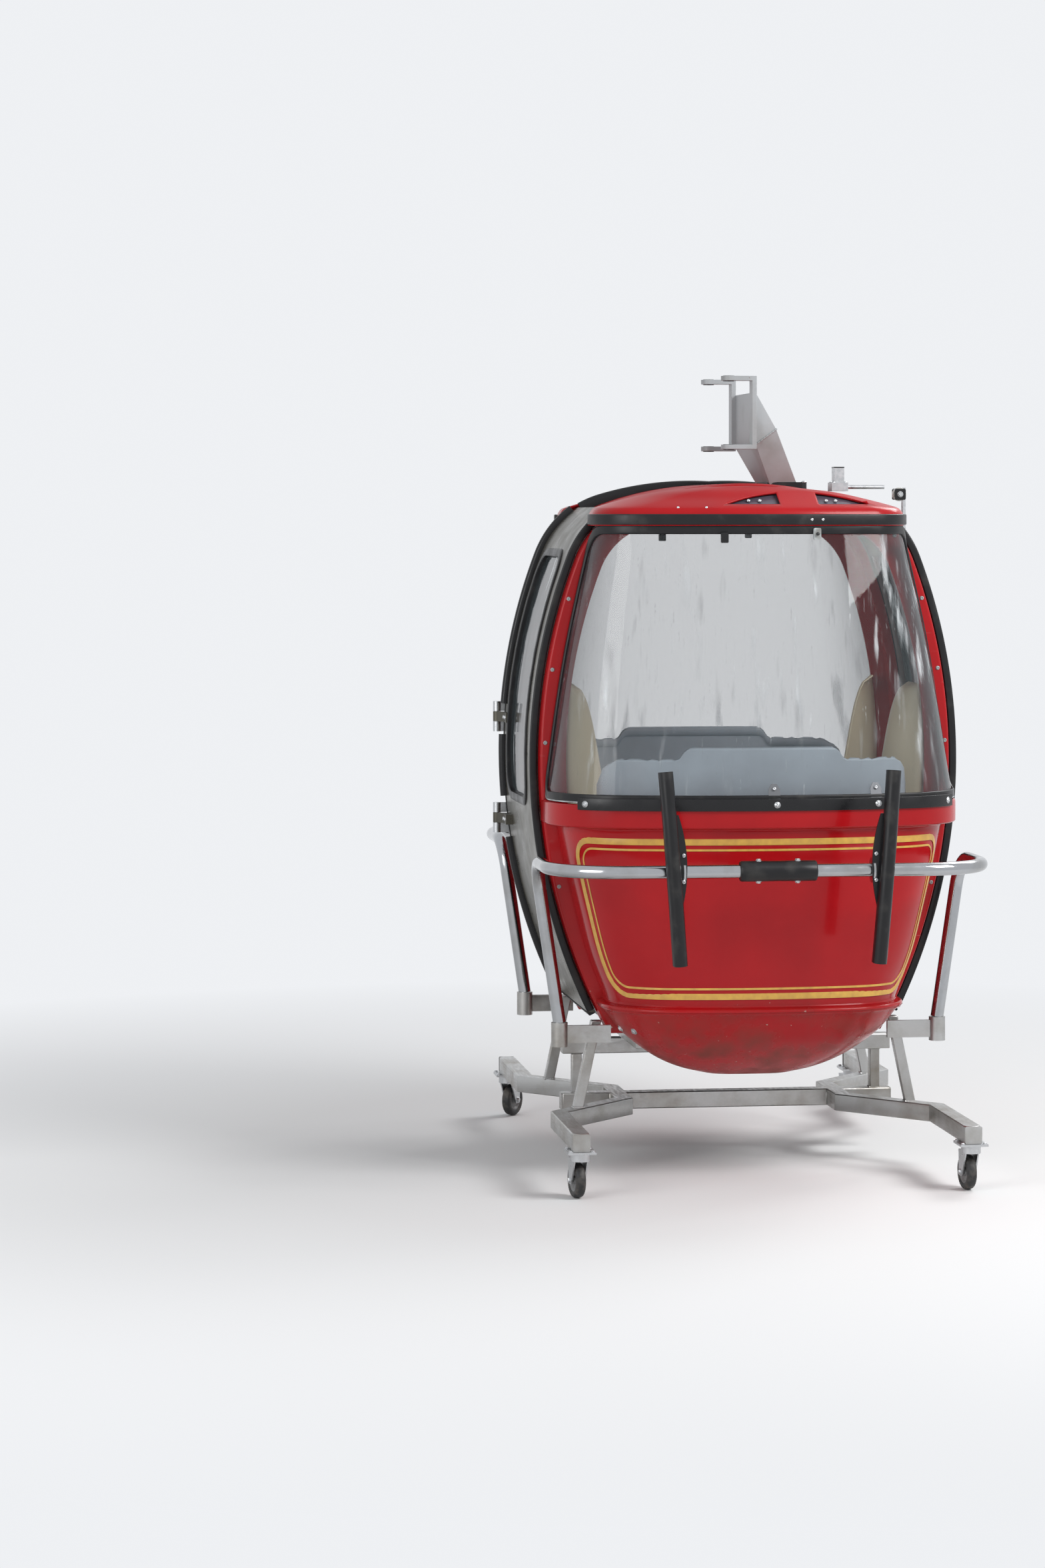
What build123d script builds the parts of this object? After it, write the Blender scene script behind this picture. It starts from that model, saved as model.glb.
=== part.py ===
"""Small egg-shaped gondola cabin for four people, standing on its four-castor trolley.

Millimetres. +Z is up, +X points to the front end shell, +Y to the side with the opening gear.
The origin is on the floor, under the middle of the cabin.
"""

import os
from math import sqrt

from build123d import *

os.makedirs("parts", exist_ok=True)

# Door arch: the outline of the cabin seen from the front, at the rims that frame the doors
arch_half_width = 612
arch_widest_z = 1200
arch_side_radius = 1650
arch_top_radius = 1000
arch_shoulder_radius = 280
roof_z = 2010
sill_z = 400
rim_depth = 55
rim_thickness = 30
flange_depth = 78
flange_thickness = 8
door_half_length = 280

# Shell walls
wall = 8
rim_x = door_half_length + rim_depth
shell_lap = 35
back_x = rim_x - shell_lap
nose_bow = 1500

# Plan sections of an end: height, inset of the side from the widest door arch, place of the
# corner's centre beyond the rim, corner radius
belt_sections = [(1020, 7, 64, 250), (1090, 7, 64, 250)]
window_sections = [(1090, 14, 58, 250), (1500, 74, 27, 205), (1885, 157, 13, 150)]
panel_sections = [(511, 186, 67, 212), (780, 102, 64, 235), (1021, 50, 55, 245)]
ledge_sections = [(480, 171, 77, 222), (512, 168, 79, 222)]
belly_sections = [(305, 440, -7, 90), (350, 318, 9, 170), (420, 230, 53, 205), (481, 181, 70, 220)]
cap_sections = [(1885, 146, 18, 160), (1930, 157, 18, 150), (1965, 262, -3, 130), (1992, 412, 1, 90)]
bench_room = [(440, 262, 70, 150), (780, 152, 49, 200), (1260, 152, 39, 200)]
form_overlap = 6
window_thickness = 5
window_gap = 1

# Roof vent: a crescent slot in each cap, with a tongue left standing in its middle
vent_low = (-95, 1948)
vent_crown = (125, 1985)
vent_high_y = 345
vent_depth_x = 400
tongue_low_half = 56
tongue_high_half = 68

# Doors
door_gap = 5
door_thickness = 18
door_overlap = 20
door_top_inset = 202
door_top_y = arch_half_width - door_top_inset
door_foot_z = 462
door_glass_length = 410
door_glass_low_z = 1075
door_glass_high_z = 1800
door_glass_corner = 70
door_glass_inset = 6
door_glass_thickness = 5

# Door hinges: an upright pin outboard of each leaf's rear edge
pin_radius = 5
pin_clearance = 0.05
knuckle_radius = 12
knuckle_length = 30
knuckle_gap = 1
pin_beside = 18
pin_outside = 20
pin_x = -(door_half_length + door_overlap + pin_beside)
pin_y = arch_half_width + door_gap + door_thickness + pin_outside
hinge_heights = [990, 1300]
hinge_arm_width = 10
strap_length = 110
strap_thickness = 6
strap_bend = 40
strap_root = 22
strap_bite = 2

# Floor and underframe
floor_thickness = 30
floor_half_width = 370
floor_inset = 274
floor_reach = 44
floor_corner = 170
beam_width = 50
beam_height = 45
beam_low_z = 305
beam_half_length = 500
rail_y = 300
rail_width = 40

# Bench: its profile in x and z, the wings of its back and the raised middle
seat_z = 790
seat_front_x = 200
seat_thickness = 22
bench_back_x = 545
bench_back_top_x = 600
bench_wing_z = 1210
bench_middle_z = 1243
bench_middle_half = 220
bench_fall = 25
bench_skirt_x = 260
bench_skirt_gap = 20
bench_skirt_z = sill_z + floor_thickness + bench_skirt_gap

# Bumper hoops, pads and guard bars
bumper_tube = 19
bumper_z = 915
bumper_front_x = 820
bumper_outside = 18
bumper_half_width = arch_half_width + bumper_outside
bumper_corner = 210
bumper_knee = 90
bumper_leg_x = 384
bumper_foot_inset = 52
bumper_foot_y = arch_half_width - bumper_foot_inset
bumper_foot_z = 445
pad_radius = 29
pad_length = 220
guard_width = 40
guard_depth = 36
guard_x = 838
guard_bow = 10
guard_top_y = 316
guard_middle_y = 305
guard_foot_y = 274
guard_top_z = 1198
guard_foot_z = 655
guard_plate_height = 300
guard_plate_width = 24
guard_plate_thickness = 8
guard_plate_bite = 3
guard_edge_radius = 12
clamp_radius = 24
clamp_length = 26
socket_wall = 5
socket_length = 70
bracket_width = 16
bracket_height = 50
bracket_reach = 150

# Hanger on the roof: the arm's foot and boot, the yoke's straps and lugs, and its three-cornered box
hanger_y = 170
hanger_foot_x = 88
hanger_foot_y = 42
boot_margin = 18
boot_height = 20
yoke_x = 170
yoke_y = 45
yoke_low_z = 2112
yoke_high_z = 2330
yoke_web = 14
yoke_lug = 14
yoke_reach = 90
yoke_width = 46
yoke_bore_radius = 10
yoke_box_low_z = 2126
yoke_box_depth = 63
yoke_box_back_z = 2172
yoke_box_high_z = 2282

# Door opening gear: block, post and rod on the roof, bar and roller on the right leaf
gear_y = 345
gear_z = 2002
gear_block = (60, 50, 26)
gear_post = (40, 30, 70)
rod_radius = 6
rod_gap = 60
pull_low_z = 1800
pull_height = 200
pull_gap = 25
pull_width = 26
pull_thickness = 8
pull_foot = 90
pull_foot_height = 14
roller_radius = 20
roller_width = 16
roller_block = 30

# Trolley
tube = 50
trolley_z = 162
trolley_rail_y = 330
trolley_knee_x = 130
trolley_toe_x = 385
trolley_toe_y = 560
trolley_end_x = 830
trolley_beam_half = 500
post_y = 455
post_size = 30
brace_x = 307
brace_foot_y = 495
brace_top_inset = 170
brace_top_y = arch_half_width - brace_top_inset
brace_top_z = 440
brace_size = 30

# Castors: name, side in x, side in y, how far the fork is turned about its pin in degrees
castors = [
    ("front_left", 1, -1, 9),
    ("front_right", 1, 1, 6),
    ("rear_left", -1, -1, -35),
    ("rear_right", -1, 1, 20),
]
castor_x = 800
wheel_radius = 50
wheel_width = 28
hub_radius = 32
hub_recess = 2
axle_radius = 5
trail = 32
fork_plate = 4
fork_gap = 3
fork_crown = 6
fork_crown_length = 60
fork_head_radius = 28
fork_leg_top = (14, -46)
fork_leg_foot = 12
fork_leg_low = 10
axle_end = 4
plate_thickness = 6
plate_length = 90
plate_width = 80
kingpin_radius = 7
kingpin_rise = 2
head_low_z = 108
swivel_gap = 0.5


upright = (Align.CENTER, Align.CENTER, Align.MIN)


def plan(z, side_inset, corner_reach, corner, back, inset=0):
    """Level section of an end shell: straight sides, round corners and a gently bowed nose."""
    half, corner, bow = arch_half_width - side_inset - inset, corner - inset, nose_bow - inset
    corner_x = rim_x + corner_reach
    corner_y = half - corner
    bow_x = corner_x - sqrt((bow - corner) ** 2 - corner_y**2)
    nose = bow_x + bow
    meet_x = bow_x + (corner_x - bow_x) * bow / (bow - corner)
    meet_y = corner_y * bow / (bow - corner)
    turn_x = corner_x + corner * (1 / sqrt(2))
    turn_y = corner_y + corner * (1 / sqrt(2))
    with BuildSketch(Plane.XY.offset(z)) as section:
        with BuildLine():
            Line((back, -half), (corner_x, -half))
            ThreePointArc((corner_x, -half), (turn_x, -turn_y), (meet_x, -meet_y))
            ThreePointArc((meet_x, -meet_y), (nose, 0), (meet_x, meet_y))
            ThreePointArc((meet_x, meet_y), (turn_x, turn_y), (corner_x, half))
            Line((corner_x, half), (back, half))
            Line((back, half), (back, -half))
        make_face()
    return section.sketch


def end_form(sections, back, inset=0, lower=0, upper=0):
    """Solid between plan sections, set in by inset and drawn out by lower and upper at its ends."""
    last = len(sections) - 1
    faces = []
    for number, (z, side_inset, corner_reach, corner) in enumerate(sections):
        shift = -lower if number == 0 else upper if number == last else 0
        faces.append(plan(z + shift, side_inset, corner_reach, corner, back, inset))
    with BuildPart() as form:
        loft(faces, ruled=True)
    return form.part


def arch(x, grow=0):
    """Front outline of the cabin at x, grown outwards: two side arcs and a roof arc."""
    with BuildSketch(Plane.YZ.offset(x)) as outline:
        with Locations((arch_half_width - arch_side_radius, arch_widest_z)):
            Circle(arch_side_radius + grow)
        with Locations((arch_side_radius - arch_half_width, arch_widest_z)):
            Circle(arch_side_radius + grow, mode=Mode.INTERSECT)
        with Locations((0, roof_z - arch_top_radius)):
            Circle(arch_top_radius + grow, mode=Mode.INTERSECT)
        shoulders = outline.vertices().group_by(Axis.Y)[-1]
        fillet(shoulders, arch_shoulder_radius + grow)
        with Locations((0, sill_z - grow)):
            Rectangle(4 * arch_half_width, 2 * roof_z, align=(Align.CENTER, Align.MIN), mode=Mode.INTERSECT)
    return outline.sketch


def arch_band(x_low, x_high, outer, inner):
    """Hoop between two grown arch outlines, from x_low to x_high."""
    with BuildPart() as band:
        extrude(arch(x_low, outer), amount=x_high - x_low)
        extrude(arch(x_low, inner), amount=x_high - x_low, mode=Mode.SUBTRACT)
    return band.part


def arch_height(y):
    """Height of the roof arc over y."""
    return roof_z - arch_top_radius + sqrt(arch_top_radius**2 - y**2)


def arch_side(z):
    """Half width of the side arc at a height."""
    return arch_half_width - arch_side_radius + sqrt(arch_side_radius**2 - (z - arch_widest_z) ** 2)


def save(builder, name):
    builder.part.label = name
    export_step(builder.part, f"parts/{name}.step")


def save_pair(builder, name):
    """The front piece, and the rear one that mirrors it."""
    save(builder, "front_" + name)
    with BuildPart() as rear:
        add(mirror(builder.part, about=Plane.YZ, mode=Mode.PRIVATE))
    save(rear, "rear_" + name)


# End shells in one moulding: rim with an inward flange for the window, belt lip, recessed panel,
# ledge, belly and roof cap
with BuildPart() as shell:
    for sections in (panel_sections, belt_sections, ledge_sections, belly_sections, cap_sections):
        add(end_form(sections, back_x))
    inset = wall + form_overlap
    for sections in (panel_sections, belt_sections, ledge_sections):
        add(end_form(sections, back_x - wall, inset, 1, 1), mode=Mode.SUBTRACT)
    add(end_form(belly_sections, back_x - wall, inset, -wall, 1), mode=Mode.SUBTRACT)
    add(end_form(cap_sections, back_x - wall, inset, 1, -wall), mode=Mode.SUBTRACT)
    with BuildSketch(Plane.YZ.offset(vent_depth_x)):
        with BuildLine():
            Line(vent_low, (vent_high_y, vent_low[1]))
            ThreePointArc((vent_high_y, vent_low[1]), vent_crown, vent_low)
        make_face()
        with BuildLine():
            Polyline(
                (vent_crown[0] - tongue_low_half, vent_low[1]),
                (vent_crown[0] + tongue_low_half, vent_low[1]),
                (vent_crown[0] + tongue_high_half, roof_z),
                (vent_crown[0] - tongue_high_half, roof_z),
                close=True,
            )
        make_face(mode=Mode.SUBTRACT)
    extrude(amount=rim_x, mode=Mode.SUBTRACT)
    add(arch_band(door_half_length, rim_x, 0, -rim_thickness))
    add(arch_band(rim_x - flange_thickness, rim_x, 0, -flange_depth))
save_pair(shell, "shell")

with BuildPart() as window:
    window_back = rim_x + window_gap
    add(end_form(window_sections, window_back))
    add(end_form(window_sections, window_back, window_thickness), mode=Mode.SUBTRACT)
save_pair(window, "window")

# Roof panel between the rims, and the floor between and beyond them
roof_half_width = door_top_y + door_overlap
roof_depth = 2 * (roof_z + rim_thickness - arch_height(roof_half_width) + 2 * rim_thickness)
with BuildPart() as roof_centre:
    add(arch_band(-door_half_length, door_half_length, 0, -rim_thickness))
    with Locations((0, 0, roof_z + rim_thickness)):
        Box(
            2 * door_half_length,
            2 * roof_half_width,
            roof_depth,
            mode=Mode.INTERSECT,
        )
save(roof_centre, "roof_centre")

with BuildPart() as floor_pan:
    with Locations((0, 0, sill_z)):
        Box(
            2 * door_half_length,
            2 * floor_half_width,
            floor_thickness,
            align=upright,
        )
    end_floor = extrude(plan(sill_z, floor_inset, floor_reach, floor_corner, 0), amount=floor_thickness)
    mirror(end_floor, about=Plane.YZ)
    add(shell.part, mode=Mode.SUBTRACT)
    add(mirror(shell.part, about=Plane.YZ, mode=Mode.PRIVATE), mode=Mode.SUBTRACT)
save(floor_pan, "floor_pan")

with BuildPart() as underframe:
    with Locations((0, 0, beam_low_z)):
        Box(beam_width, 2 * beam_half_length, beam_height, align=upright)
    with Locations((0, rail_y, beam_low_z + beam_height), (0, -rail_y, beam_low_z + beam_height)):
        Box(
            2 * door_half_length,
            rail_width,
            sill_z - beam_low_z - beam_height,
            align=upright,
        )
save(underframe, "underframe")

# Door leaves, outside the rims, each with a window and its hinge straps
leaf_reach = door_half_length + door_overlap
leaf_outer = door_gap + door_thickness
glass_height = door_glass_high_z - door_glass_low_z
glass_middle_z = (door_glass_high_z + door_glass_low_z) / 2
glass_low = door_gap + door_glass_inset
strap_y = arch_half_width + leaf_outer


def glass_prism(margin):
    """Block in the shape of the door window, larger by margin all round."""
    with BuildPart() as prism:
        with BuildSketch(Plane.XZ):
            with Locations((0, glass_middle_z)):
                RectangleRounded(
                    door_glass_length + 2 * margin, glass_height + 2 * margin, door_glass_corner + margin
                )
        extrude(amount=-2 * arch_half_width)
    return prism.part


with BuildPart() as leaf:
    add(arch_band(-leaf_reach, leaf_reach, leaf_outer, door_gap))
    with Locations((0, door_top_y, door_foot_z)):
        Box(
            2 * leaf_reach,
            arch_half_width,
            roof_z,
            align=(Align.CENTER, Align.MIN, Align.MIN),
            mode=Mode.INTERSECT,
        )
    add(glass_prism(0), mode=Mode.SUBTRACT)
    for height in hinge_heights:
        with Locations((pin_x, pin_y, height)):
            Cylinder(knuckle_radius, knuckle_length)
            Cylinder(pin_radius + pin_clearance, knuckle_length, mode=Mode.SUBTRACT)
        with BuildSketch(Plane.XY.offset(height - knuckle_length / 2)):
            with BuildLine():
                Polyline(
                    (pin_x + knuckle_radius - strap_bite, pin_y - strap_thickness / 2),
                    (pin_x + knuckle_radius - strap_bite, pin_y + strap_thickness / 2),
                    (pin_x + strap_bend, strap_y + strap_thickness),
                    (pin_x + strap_length, strap_y + strap_thickness),
                    (pin_x + strap_length, strap_y - door_thickness + strap_bite),
                    (pin_x + strap_root, strap_y - door_thickness + strap_bite),
                    close=True,
                )
            make_face()
        extrude(amount=knuckle_length)

with BuildPart() as leaf_window:
    add(arch_band(-leaf_reach, leaf_reach, glass_low + door_glass_thickness, glass_low))
    add(glass_prism(-window_gap), mode=Mode.INTERSECT)

for side, sign in (("right", 1), ("left", -1)):
    for piece, name in ((leaf, "leaf"), (leaf_window, "window")):
        with BuildPart() as placed:
            if sign > 0:
                add(piece.part)
            else:
                add(mirror(piece.part, about=Plane.XZ, mode=Mode.PRIVATE))
        save(placed, f"door_{side}_{name}")

# Hinge pins, knuckles and the arms that hold them to the rear rim
with BuildPart() as hinges:
    arm_length = pin_y - arch_half_width + rim_thickness / 2
    for side in (-1, 1):
        for height in hinge_heights:
            with Locations((pin_x, side * pin_y, height)):
                Cylinder(pin_radius, 3 * knuckle_length)
            for step in (-1, 1):
                middle = height + step * (knuckle_length + knuckle_gap)
                with Locations((pin_x, side * pin_y, middle)):
                    Cylinder(knuckle_radius, knuckle_length)
                with Locations((pin_x, side * (pin_y - arm_length / 2), middle)):
                    Box(hinge_arm_width, arm_length, knuckle_length)
    add(mirror(shell.part, about=Plane.YZ, mode=Mode.PRIVATE), mode=Mode.SUBTRACT)
save(hinges, "door_hinges")

# Benches: skirt, seat and leaning back in one moulding, kept within the room inside the shells
with BuildPart() as bench:
    lean = (bench_back_top_x - bench_back_x - seat_thickness) / (bench_middle_z - seat_z + bench_fall)
    for half_width, top_z in ((arch_half_width, bench_wing_z), (bench_middle_half, bench_middle_z)):
        top_x = bench_back_x + lean * (top_z - seat_z + bench_fall)
        with BuildSketch(Plane.XZ.offset(-half_width)):
            with BuildLine():
                Polyline(
                    (seat_front_x, seat_z),
                    (bench_back_x, seat_z - bench_fall),
                    (top_x, top_z),
                    (top_x + seat_thickness, top_z),
                    (bench_back_x + seat_thickness, seat_z - bench_fall - seat_thickness),
                    (seat_front_x + seat_thickness, seat_z - seat_thickness),
                    (bench_skirt_x + seat_thickness, bench_skirt_z),
                    (bench_skirt_x, bench_skirt_z),
                    close=True,
                )
            make_face()
        extrude(amount=2 * half_width)
    add(end_form(bench_room, 0), mode=Mode.INTERSECT)
save_pair(bench, "bench")

# Bumper hoops, each with a rubber pad and two guard bars
with BuildPart() as bumper:
    with BuildLine() as hoop:
        FilletPolyline(
            (bumper_leg_x, -bumper_foot_y, bumper_foot_z),
            (bumper_leg_x, -bumper_half_width, bumper_z),
            (bumper_front_x, -bumper_half_width, bumper_z),
            (bumper_front_x, bumper_half_width, bumper_z),
            (bumper_leg_x, bumper_half_width, bumper_z),
            (bumper_leg_x, bumper_foot_y, bumper_foot_z),
            radius=[bumper_knee, bumper_corner, bumper_corner, bumper_knee],
        )
    with BuildSketch(Plane(hoop.line @ 0, z_dir=hoop.line % 0)):
        Circle(bumper_tube)
    sweep()
save_pair(bumper, "bumper")

with BuildPart() as pad:
    with Locations(Location((bumper_front_x, 0, bumper_z), (90, 0, 0))):
        Cylinder(pad_radius, pad_length)
    add(bumper.part, mode=Mode.SUBTRACT)
save_pair(pad, "bumper_pad")

with BuildPart() as guards:
    guard_middle_z = (guard_top_z + guard_foot_z) / 2
    guard_rise = guard_top_z - guard_foot_z
    guard_half_length = sqrt(guard_rise**2 + (guard_top_y - guard_foot_y) ** 2) / 2
    for side in (-1, 1):
        along_y = side * (guard_top_y - guard_foot_y)
        guard_plane = Plane(
            (0, side * guard_middle_y, guard_middle_z), x_dir=(1, 0, 0), z_dir=(0, -guard_rise, along_y)
        )
        with BuildPart(mode=Mode.PRIVATE) as bar:
            with BuildSketch(guard_plane):
                with BuildLine():
                    back = ThreePointArc(
                        (guard_x, -guard_half_length),
                        (guard_x + guard_bow, 0),
                        (guard_x, guard_half_length),
                    )
                    Line(back @ 1, (guard_x + guard_depth, guard_half_length))
                    ThreePointArc(
                        (guard_x + guard_depth, guard_half_length),
                        (guard_x + guard_bow + guard_depth, 0),
                        (guard_x + guard_depth, -guard_half_length),
                    )
                    Line((guard_x + guard_depth, -guard_half_length), back @ 0)
                make_face()
            extrude(amount=guard_width / 2, both=True)
            fillet(bar.edges().filter_by(GeomType.CIRCLE).sort_by(Axis.X)[-2:], guard_edge_radius)
        add(bar.part)
        plate_low_z = guard_middle_z - guard_plate_height / 2
        plate_high_z = guard_middle_z + guard_plate_height / 2
        plate_edge_y = guard_middle_y - guard_width / 2 - guard_plate_width
        with BuildSketch(Plane.YZ.offset(guard_x + guard_bow - guard_plate_thickness + guard_plate_bite)):
            with BuildLine():
                Line((side * guard_middle_y, plate_high_z), (side * guard_middle_y, plate_low_z))
                ThreePointArc(
                    (side * guard_middle_y, plate_low_z),
                    (side * plate_edge_y, guard_middle_z),
                    (side * guard_middle_y, plate_high_z),
                )
            make_face()
        extrude(amount=guard_plate_thickness)
        with Locations(Location((bumper_front_x, side * guard_middle_y, bumper_z), (90, 0, 0))):
            Cylinder(clamp_radius, clamp_length)
    add(bumper.part, mode=Mode.SUBTRACT)
save_pair(guards, "guard_bars")

# Brackets between the shells' rims and the feet of the hoops
with BuildPart() as brackets:
    for end in (-1, 1):
        for side in (-1, 1):
            with Locations((end * bumper_leg_x, side * bumper_foot_y, bumper_foot_z)):
                Cylinder(
                    bumper_tube + socket_wall, socket_length, align=(Align.CENTER, Align.CENTER, Align.MAX)
                )
            bracket_y = side * (bumper_foot_y - bracket_reach / 2)
            with Locations((end * bumper_leg_x, bracket_y, bumper_foot_z - socket_length / 2)):
                Box(bracket_width, bracket_reach, bracket_height)
    for neighbour in (shell.part, bumper.part):
        add(neighbour, mode=Mode.SUBTRACT)
        add(mirror(neighbour, about=Plane.YZ, mode=Mode.PRIVATE), mode=Mode.SUBTRACT)
save(brackets, "bumper_brackets")

# Hanger: rubber boot on the roof, a box arm that widens upwards, and a yoke of two bent straps
# with bored lugs, joined by a three-cornered box
boot_z = arch_height(hanger_y)
yoke_bore_y = yoke_y - yoke_reach + yoke_width / 2
yoke_back_y = yoke_y + yoke_web
yoke_box_rise = yoke_box_back_z - yoke_box_low_z
arm_top_y = yoke_back_y + yoke_box_depth / 2
arm_top_z = (yoke_box_low_z + yoke_box_back_z) / 2
arm_top = Plane((0, arm_top_y, arm_top_z), x_dir=(1, 0, 0), z_dir=(0, -yoke_box_rise, yoke_box_depth))
with BuildPart() as arm:
    with BuildSketch(Plane.XY.offset(boot_z - rim_thickness / 2)):
        with Locations((0, hanger_y)):
            Rectangle(2 * hanger_foot_x, 2 * hanger_foot_y)
    with BuildSketch(arm_top):
        Rectangle(2 * yoke_x, sqrt(yoke_box_depth**2 + yoke_box_rise**2))
    loft(ruled=True)
    add(roof_centre.part, mode=Mode.SUBTRACT)
save(arm, "hanger_arm")

with BuildPart() as boot:
    with BuildSketch(Plane.XY.offset(boot_z - rim_thickness / 2)):
        with Locations((0, hanger_y)):
            RectangleRounded(
                2 * (hanger_foot_x + boot_margin), 2 * (hanger_foot_y + boot_margin), boot_margin
            )
    extrude(amount=boot_height + rim_thickness / 2)
    add(roof_centre.part, mode=Mode.SUBTRACT)
    add(arm.part, mode=Mode.SUBTRACT)
save(boot, "hanger_foot")

with BuildPart() as yoke:
    for end in (-1, 1):
        with Locations((end * yoke_x, yoke_y, yoke_low_z)):
            Box(
                yoke_width,
                yoke_web,
                yoke_high_z - yoke_low_z,
                align=(Align.CENTER, Align.MIN, Align.MIN),
            )
        for low in (yoke_low_z, yoke_high_z - yoke_lug):
            with Locations((end * yoke_x, yoke_y, low)):
                Box(
                    yoke_width,
                    yoke_reach - yoke_width / 2,
                    yoke_lug,
                    align=(Align.CENTER, Align.MAX, Align.MIN),
                )
            with Locations((end * yoke_x, yoke_bore_y, low)):
                Cylinder(yoke_width / 2, yoke_lug, align=upright)
        with Locations((end * yoke_x, yoke_bore_y, yoke_low_z)):
            Cylinder(
                yoke_bore_radius,
                yoke_high_z - yoke_low_z,
                align=upright,
                mode=Mode.SUBTRACT,
            )
    with BuildSketch(Plane.YZ.offset(-yoke_x)):
        with BuildLine():
            Polyline(
                (yoke_back_y, yoke_box_low_z),
                (yoke_back_y + yoke_box_depth, yoke_box_back_z),
                (yoke_back_y, yoke_box_high_z),
                close=True,
            )
        make_face()
    extrude(amount=2 * yoke_x)
save(yoke, "hanger_yoke")

# Opening gear: block and rod on the roof, and the bar with its roller on the right leaf
pull_y = arch_side(pull_low_z) + leaf_outer + pull_gap
pull_top_z = pull_low_z + pull_height
with BuildPart() as gear:
    with Locations((0, gear_y, gear_z - gear_block[2] / 2)):
        Box(*gear_block, align=upright)
        Box(*gear_post, align=upright)
    with Locations(Location((0, gear_y, gear_z), (-90, 0, 0))):
        Cylinder(rod_radius, pull_y - gear_y - rod_gap, align=upright)
    with BuildPart(mode=Mode.PRIVATE) as under_roof:
        add(arch_band(-door_half_length, door_half_length, 0, -2 * rim_thickness))
    add(under_roof.part, mode=Mode.SUBTRACT)
save(gear, "door_gear")

with BuildPart() as pull:
    with Locations((0, pull_y, pull_low_z)):
        Box(pull_width, pull_thickness, pull_top_z - pull_low_z, align=upright)
        Box(pull_width, pull_foot, pull_foot_height, align=(Align.CENTER, Align.MAX, Align.MIN))
    roller_z = pull_top_z - roller_radius
    with Locations((0, pull_y - roller_block / 2, roller_z)):
        Box(roller_block, roller_block, roller_block)
    with Locations(Location((0, pull_y - roller_block / 2, roller_z), (0, 90, 0))):
        Cylinder(roller_radius, roller_width, align=upright)
    add(arch_band(-leaf_reach, leaf_reach, leaf_outer, -4 * rim_thickness), mode=Mode.SUBTRACT)
save(pull, "door_right_pull")

# Trolley: cross beam, two rails, and at each corner an outrigger and a toe that carries a castor
with BuildPart() as trolley:
    with Locations((0, 0, trolley_z)):
        Box(tube, 2 * trolley_beam_half, tube)
    for side in (-1, 1):
        for end in (-1, 1):
            with BuildSketch(Plane.XY.offset(trolley_z - tube / 2)):
                with BuildLine():
                    Polyline(
                        (0, side * trolley_rail_y),
                        (end * trolley_knee_x, side * trolley_rail_y),
                        (end * trolley_toe_x, side * trolley_toe_y),
                        (end * (trolley_end_x - tube / 2), side * trolley_toe_y),
                    )
                    offset(amount=tube / 2, kind=Kind.INTERSECTION, side=Side.BOTH)
                make_face()
            extrude(amount=tube)
save(trolley, "trolley_frame")

# Posts up to the cross beam, and leaning braces from the outriggers up to the shells' rims
trolley_top_z = trolley_z + tube / 2
with BuildPart() as posts:
    for side in (-1, 1):
        with Locations((0, side * post_y, trolley_top_z)):
            Box(
                post_size,
                post_size,
                beam_low_z - trolley_top_z,
                align=upright,
            )
        for end in (-1, 1):
            with BuildSketch(Plane.YZ.offset(end * brace_x - brace_size / 2)):
                with BuildLine():
                    Polyline(
                        (side * (brace_foot_y + brace_size / 2), trolley_top_z),
                        (side * (brace_foot_y - brace_size / 2), trolley_top_z),
                        (side * (brace_top_y - brace_size / 2), brace_top_z),
                        (side * (brace_top_y + brace_size / 2), brace_top_z),
                        close=True,
                    )
                make_face()
            extrude(amount=brace_size)
    add(shell.part, mode=Mode.SUBTRACT)
    add(mirror(shell.part, about=Plane.YZ, mode=Mode.PRIVATE), mode=Mode.SUBTRACT)
save(posts, "trolley_posts")

# Castors
plate_low_z = trolley_z - tube / 2 - plate_thickness
head_high_z = plate_low_z - swivel_gap
with BuildPart() as plates:
    for name, end, side, turn in castors:
        with Locations((end * castor_x, side * trolley_toe_y, plate_low_z)):
            Box(plate_length, plate_width, plate_thickness, align=upright)
            Cylinder(
                kingpin_radius,
                plate_low_z - head_low_z - kingpin_rise,
                align=(Align.CENTER, Align.CENTER, Align.MAX),
            )
save(plates, "castor_plates")

leg_y = wheel_width / 2 + fork_gap
with BuildPart() as fork:
    with Locations((0, 0, head_low_z)):
        Cylinder(fork_head_radius, head_high_z - head_low_z, align=upright)
    with Locations((-trail / 2, 0, head_low_z)):
        Box(fork_crown_length, 2 * (leg_y + fork_plate), fork_crown, align=upright)
    for side in (-1, 1):
        with BuildSketch(Plane.XZ.offset(-side * (leg_y + fork_plate / 2) - fork_plate / 2)):
            with BuildLine():
                Polyline(
                    (fork_leg_top[0], head_low_z + fork_crown),
                    (fork_leg_foot - trail, wheel_radius - fork_leg_low),
                    (-fork_leg_foot - trail, wheel_radius - fork_leg_low),
                    (fork_leg_top[1], head_low_z + fork_crown),
                    close=True,
                )
            make_face()
        extrude(amount=fork_plate)
    with Locations(Location((-trail, 0, wheel_radius), (90, 0, 0))):
        Cylinder(axle_radius, 2 * (leg_y + fork_plate + axle_end))
    Cylinder(
        kingpin_radius + pin_clearance,
        2 * plate_low_z,
        mode=Mode.SUBTRACT,
    )

with BuildPart() as hub:
    with Locations(Location((-trail, 0, wheel_radius), (90, 0, 0))):
        Cylinder(hub_radius, wheel_width - 2 * hub_recess)
        Cylinder(axle_radius + pin_clearance, wheel_width, mode=Mode.SUBTRACT)

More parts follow.
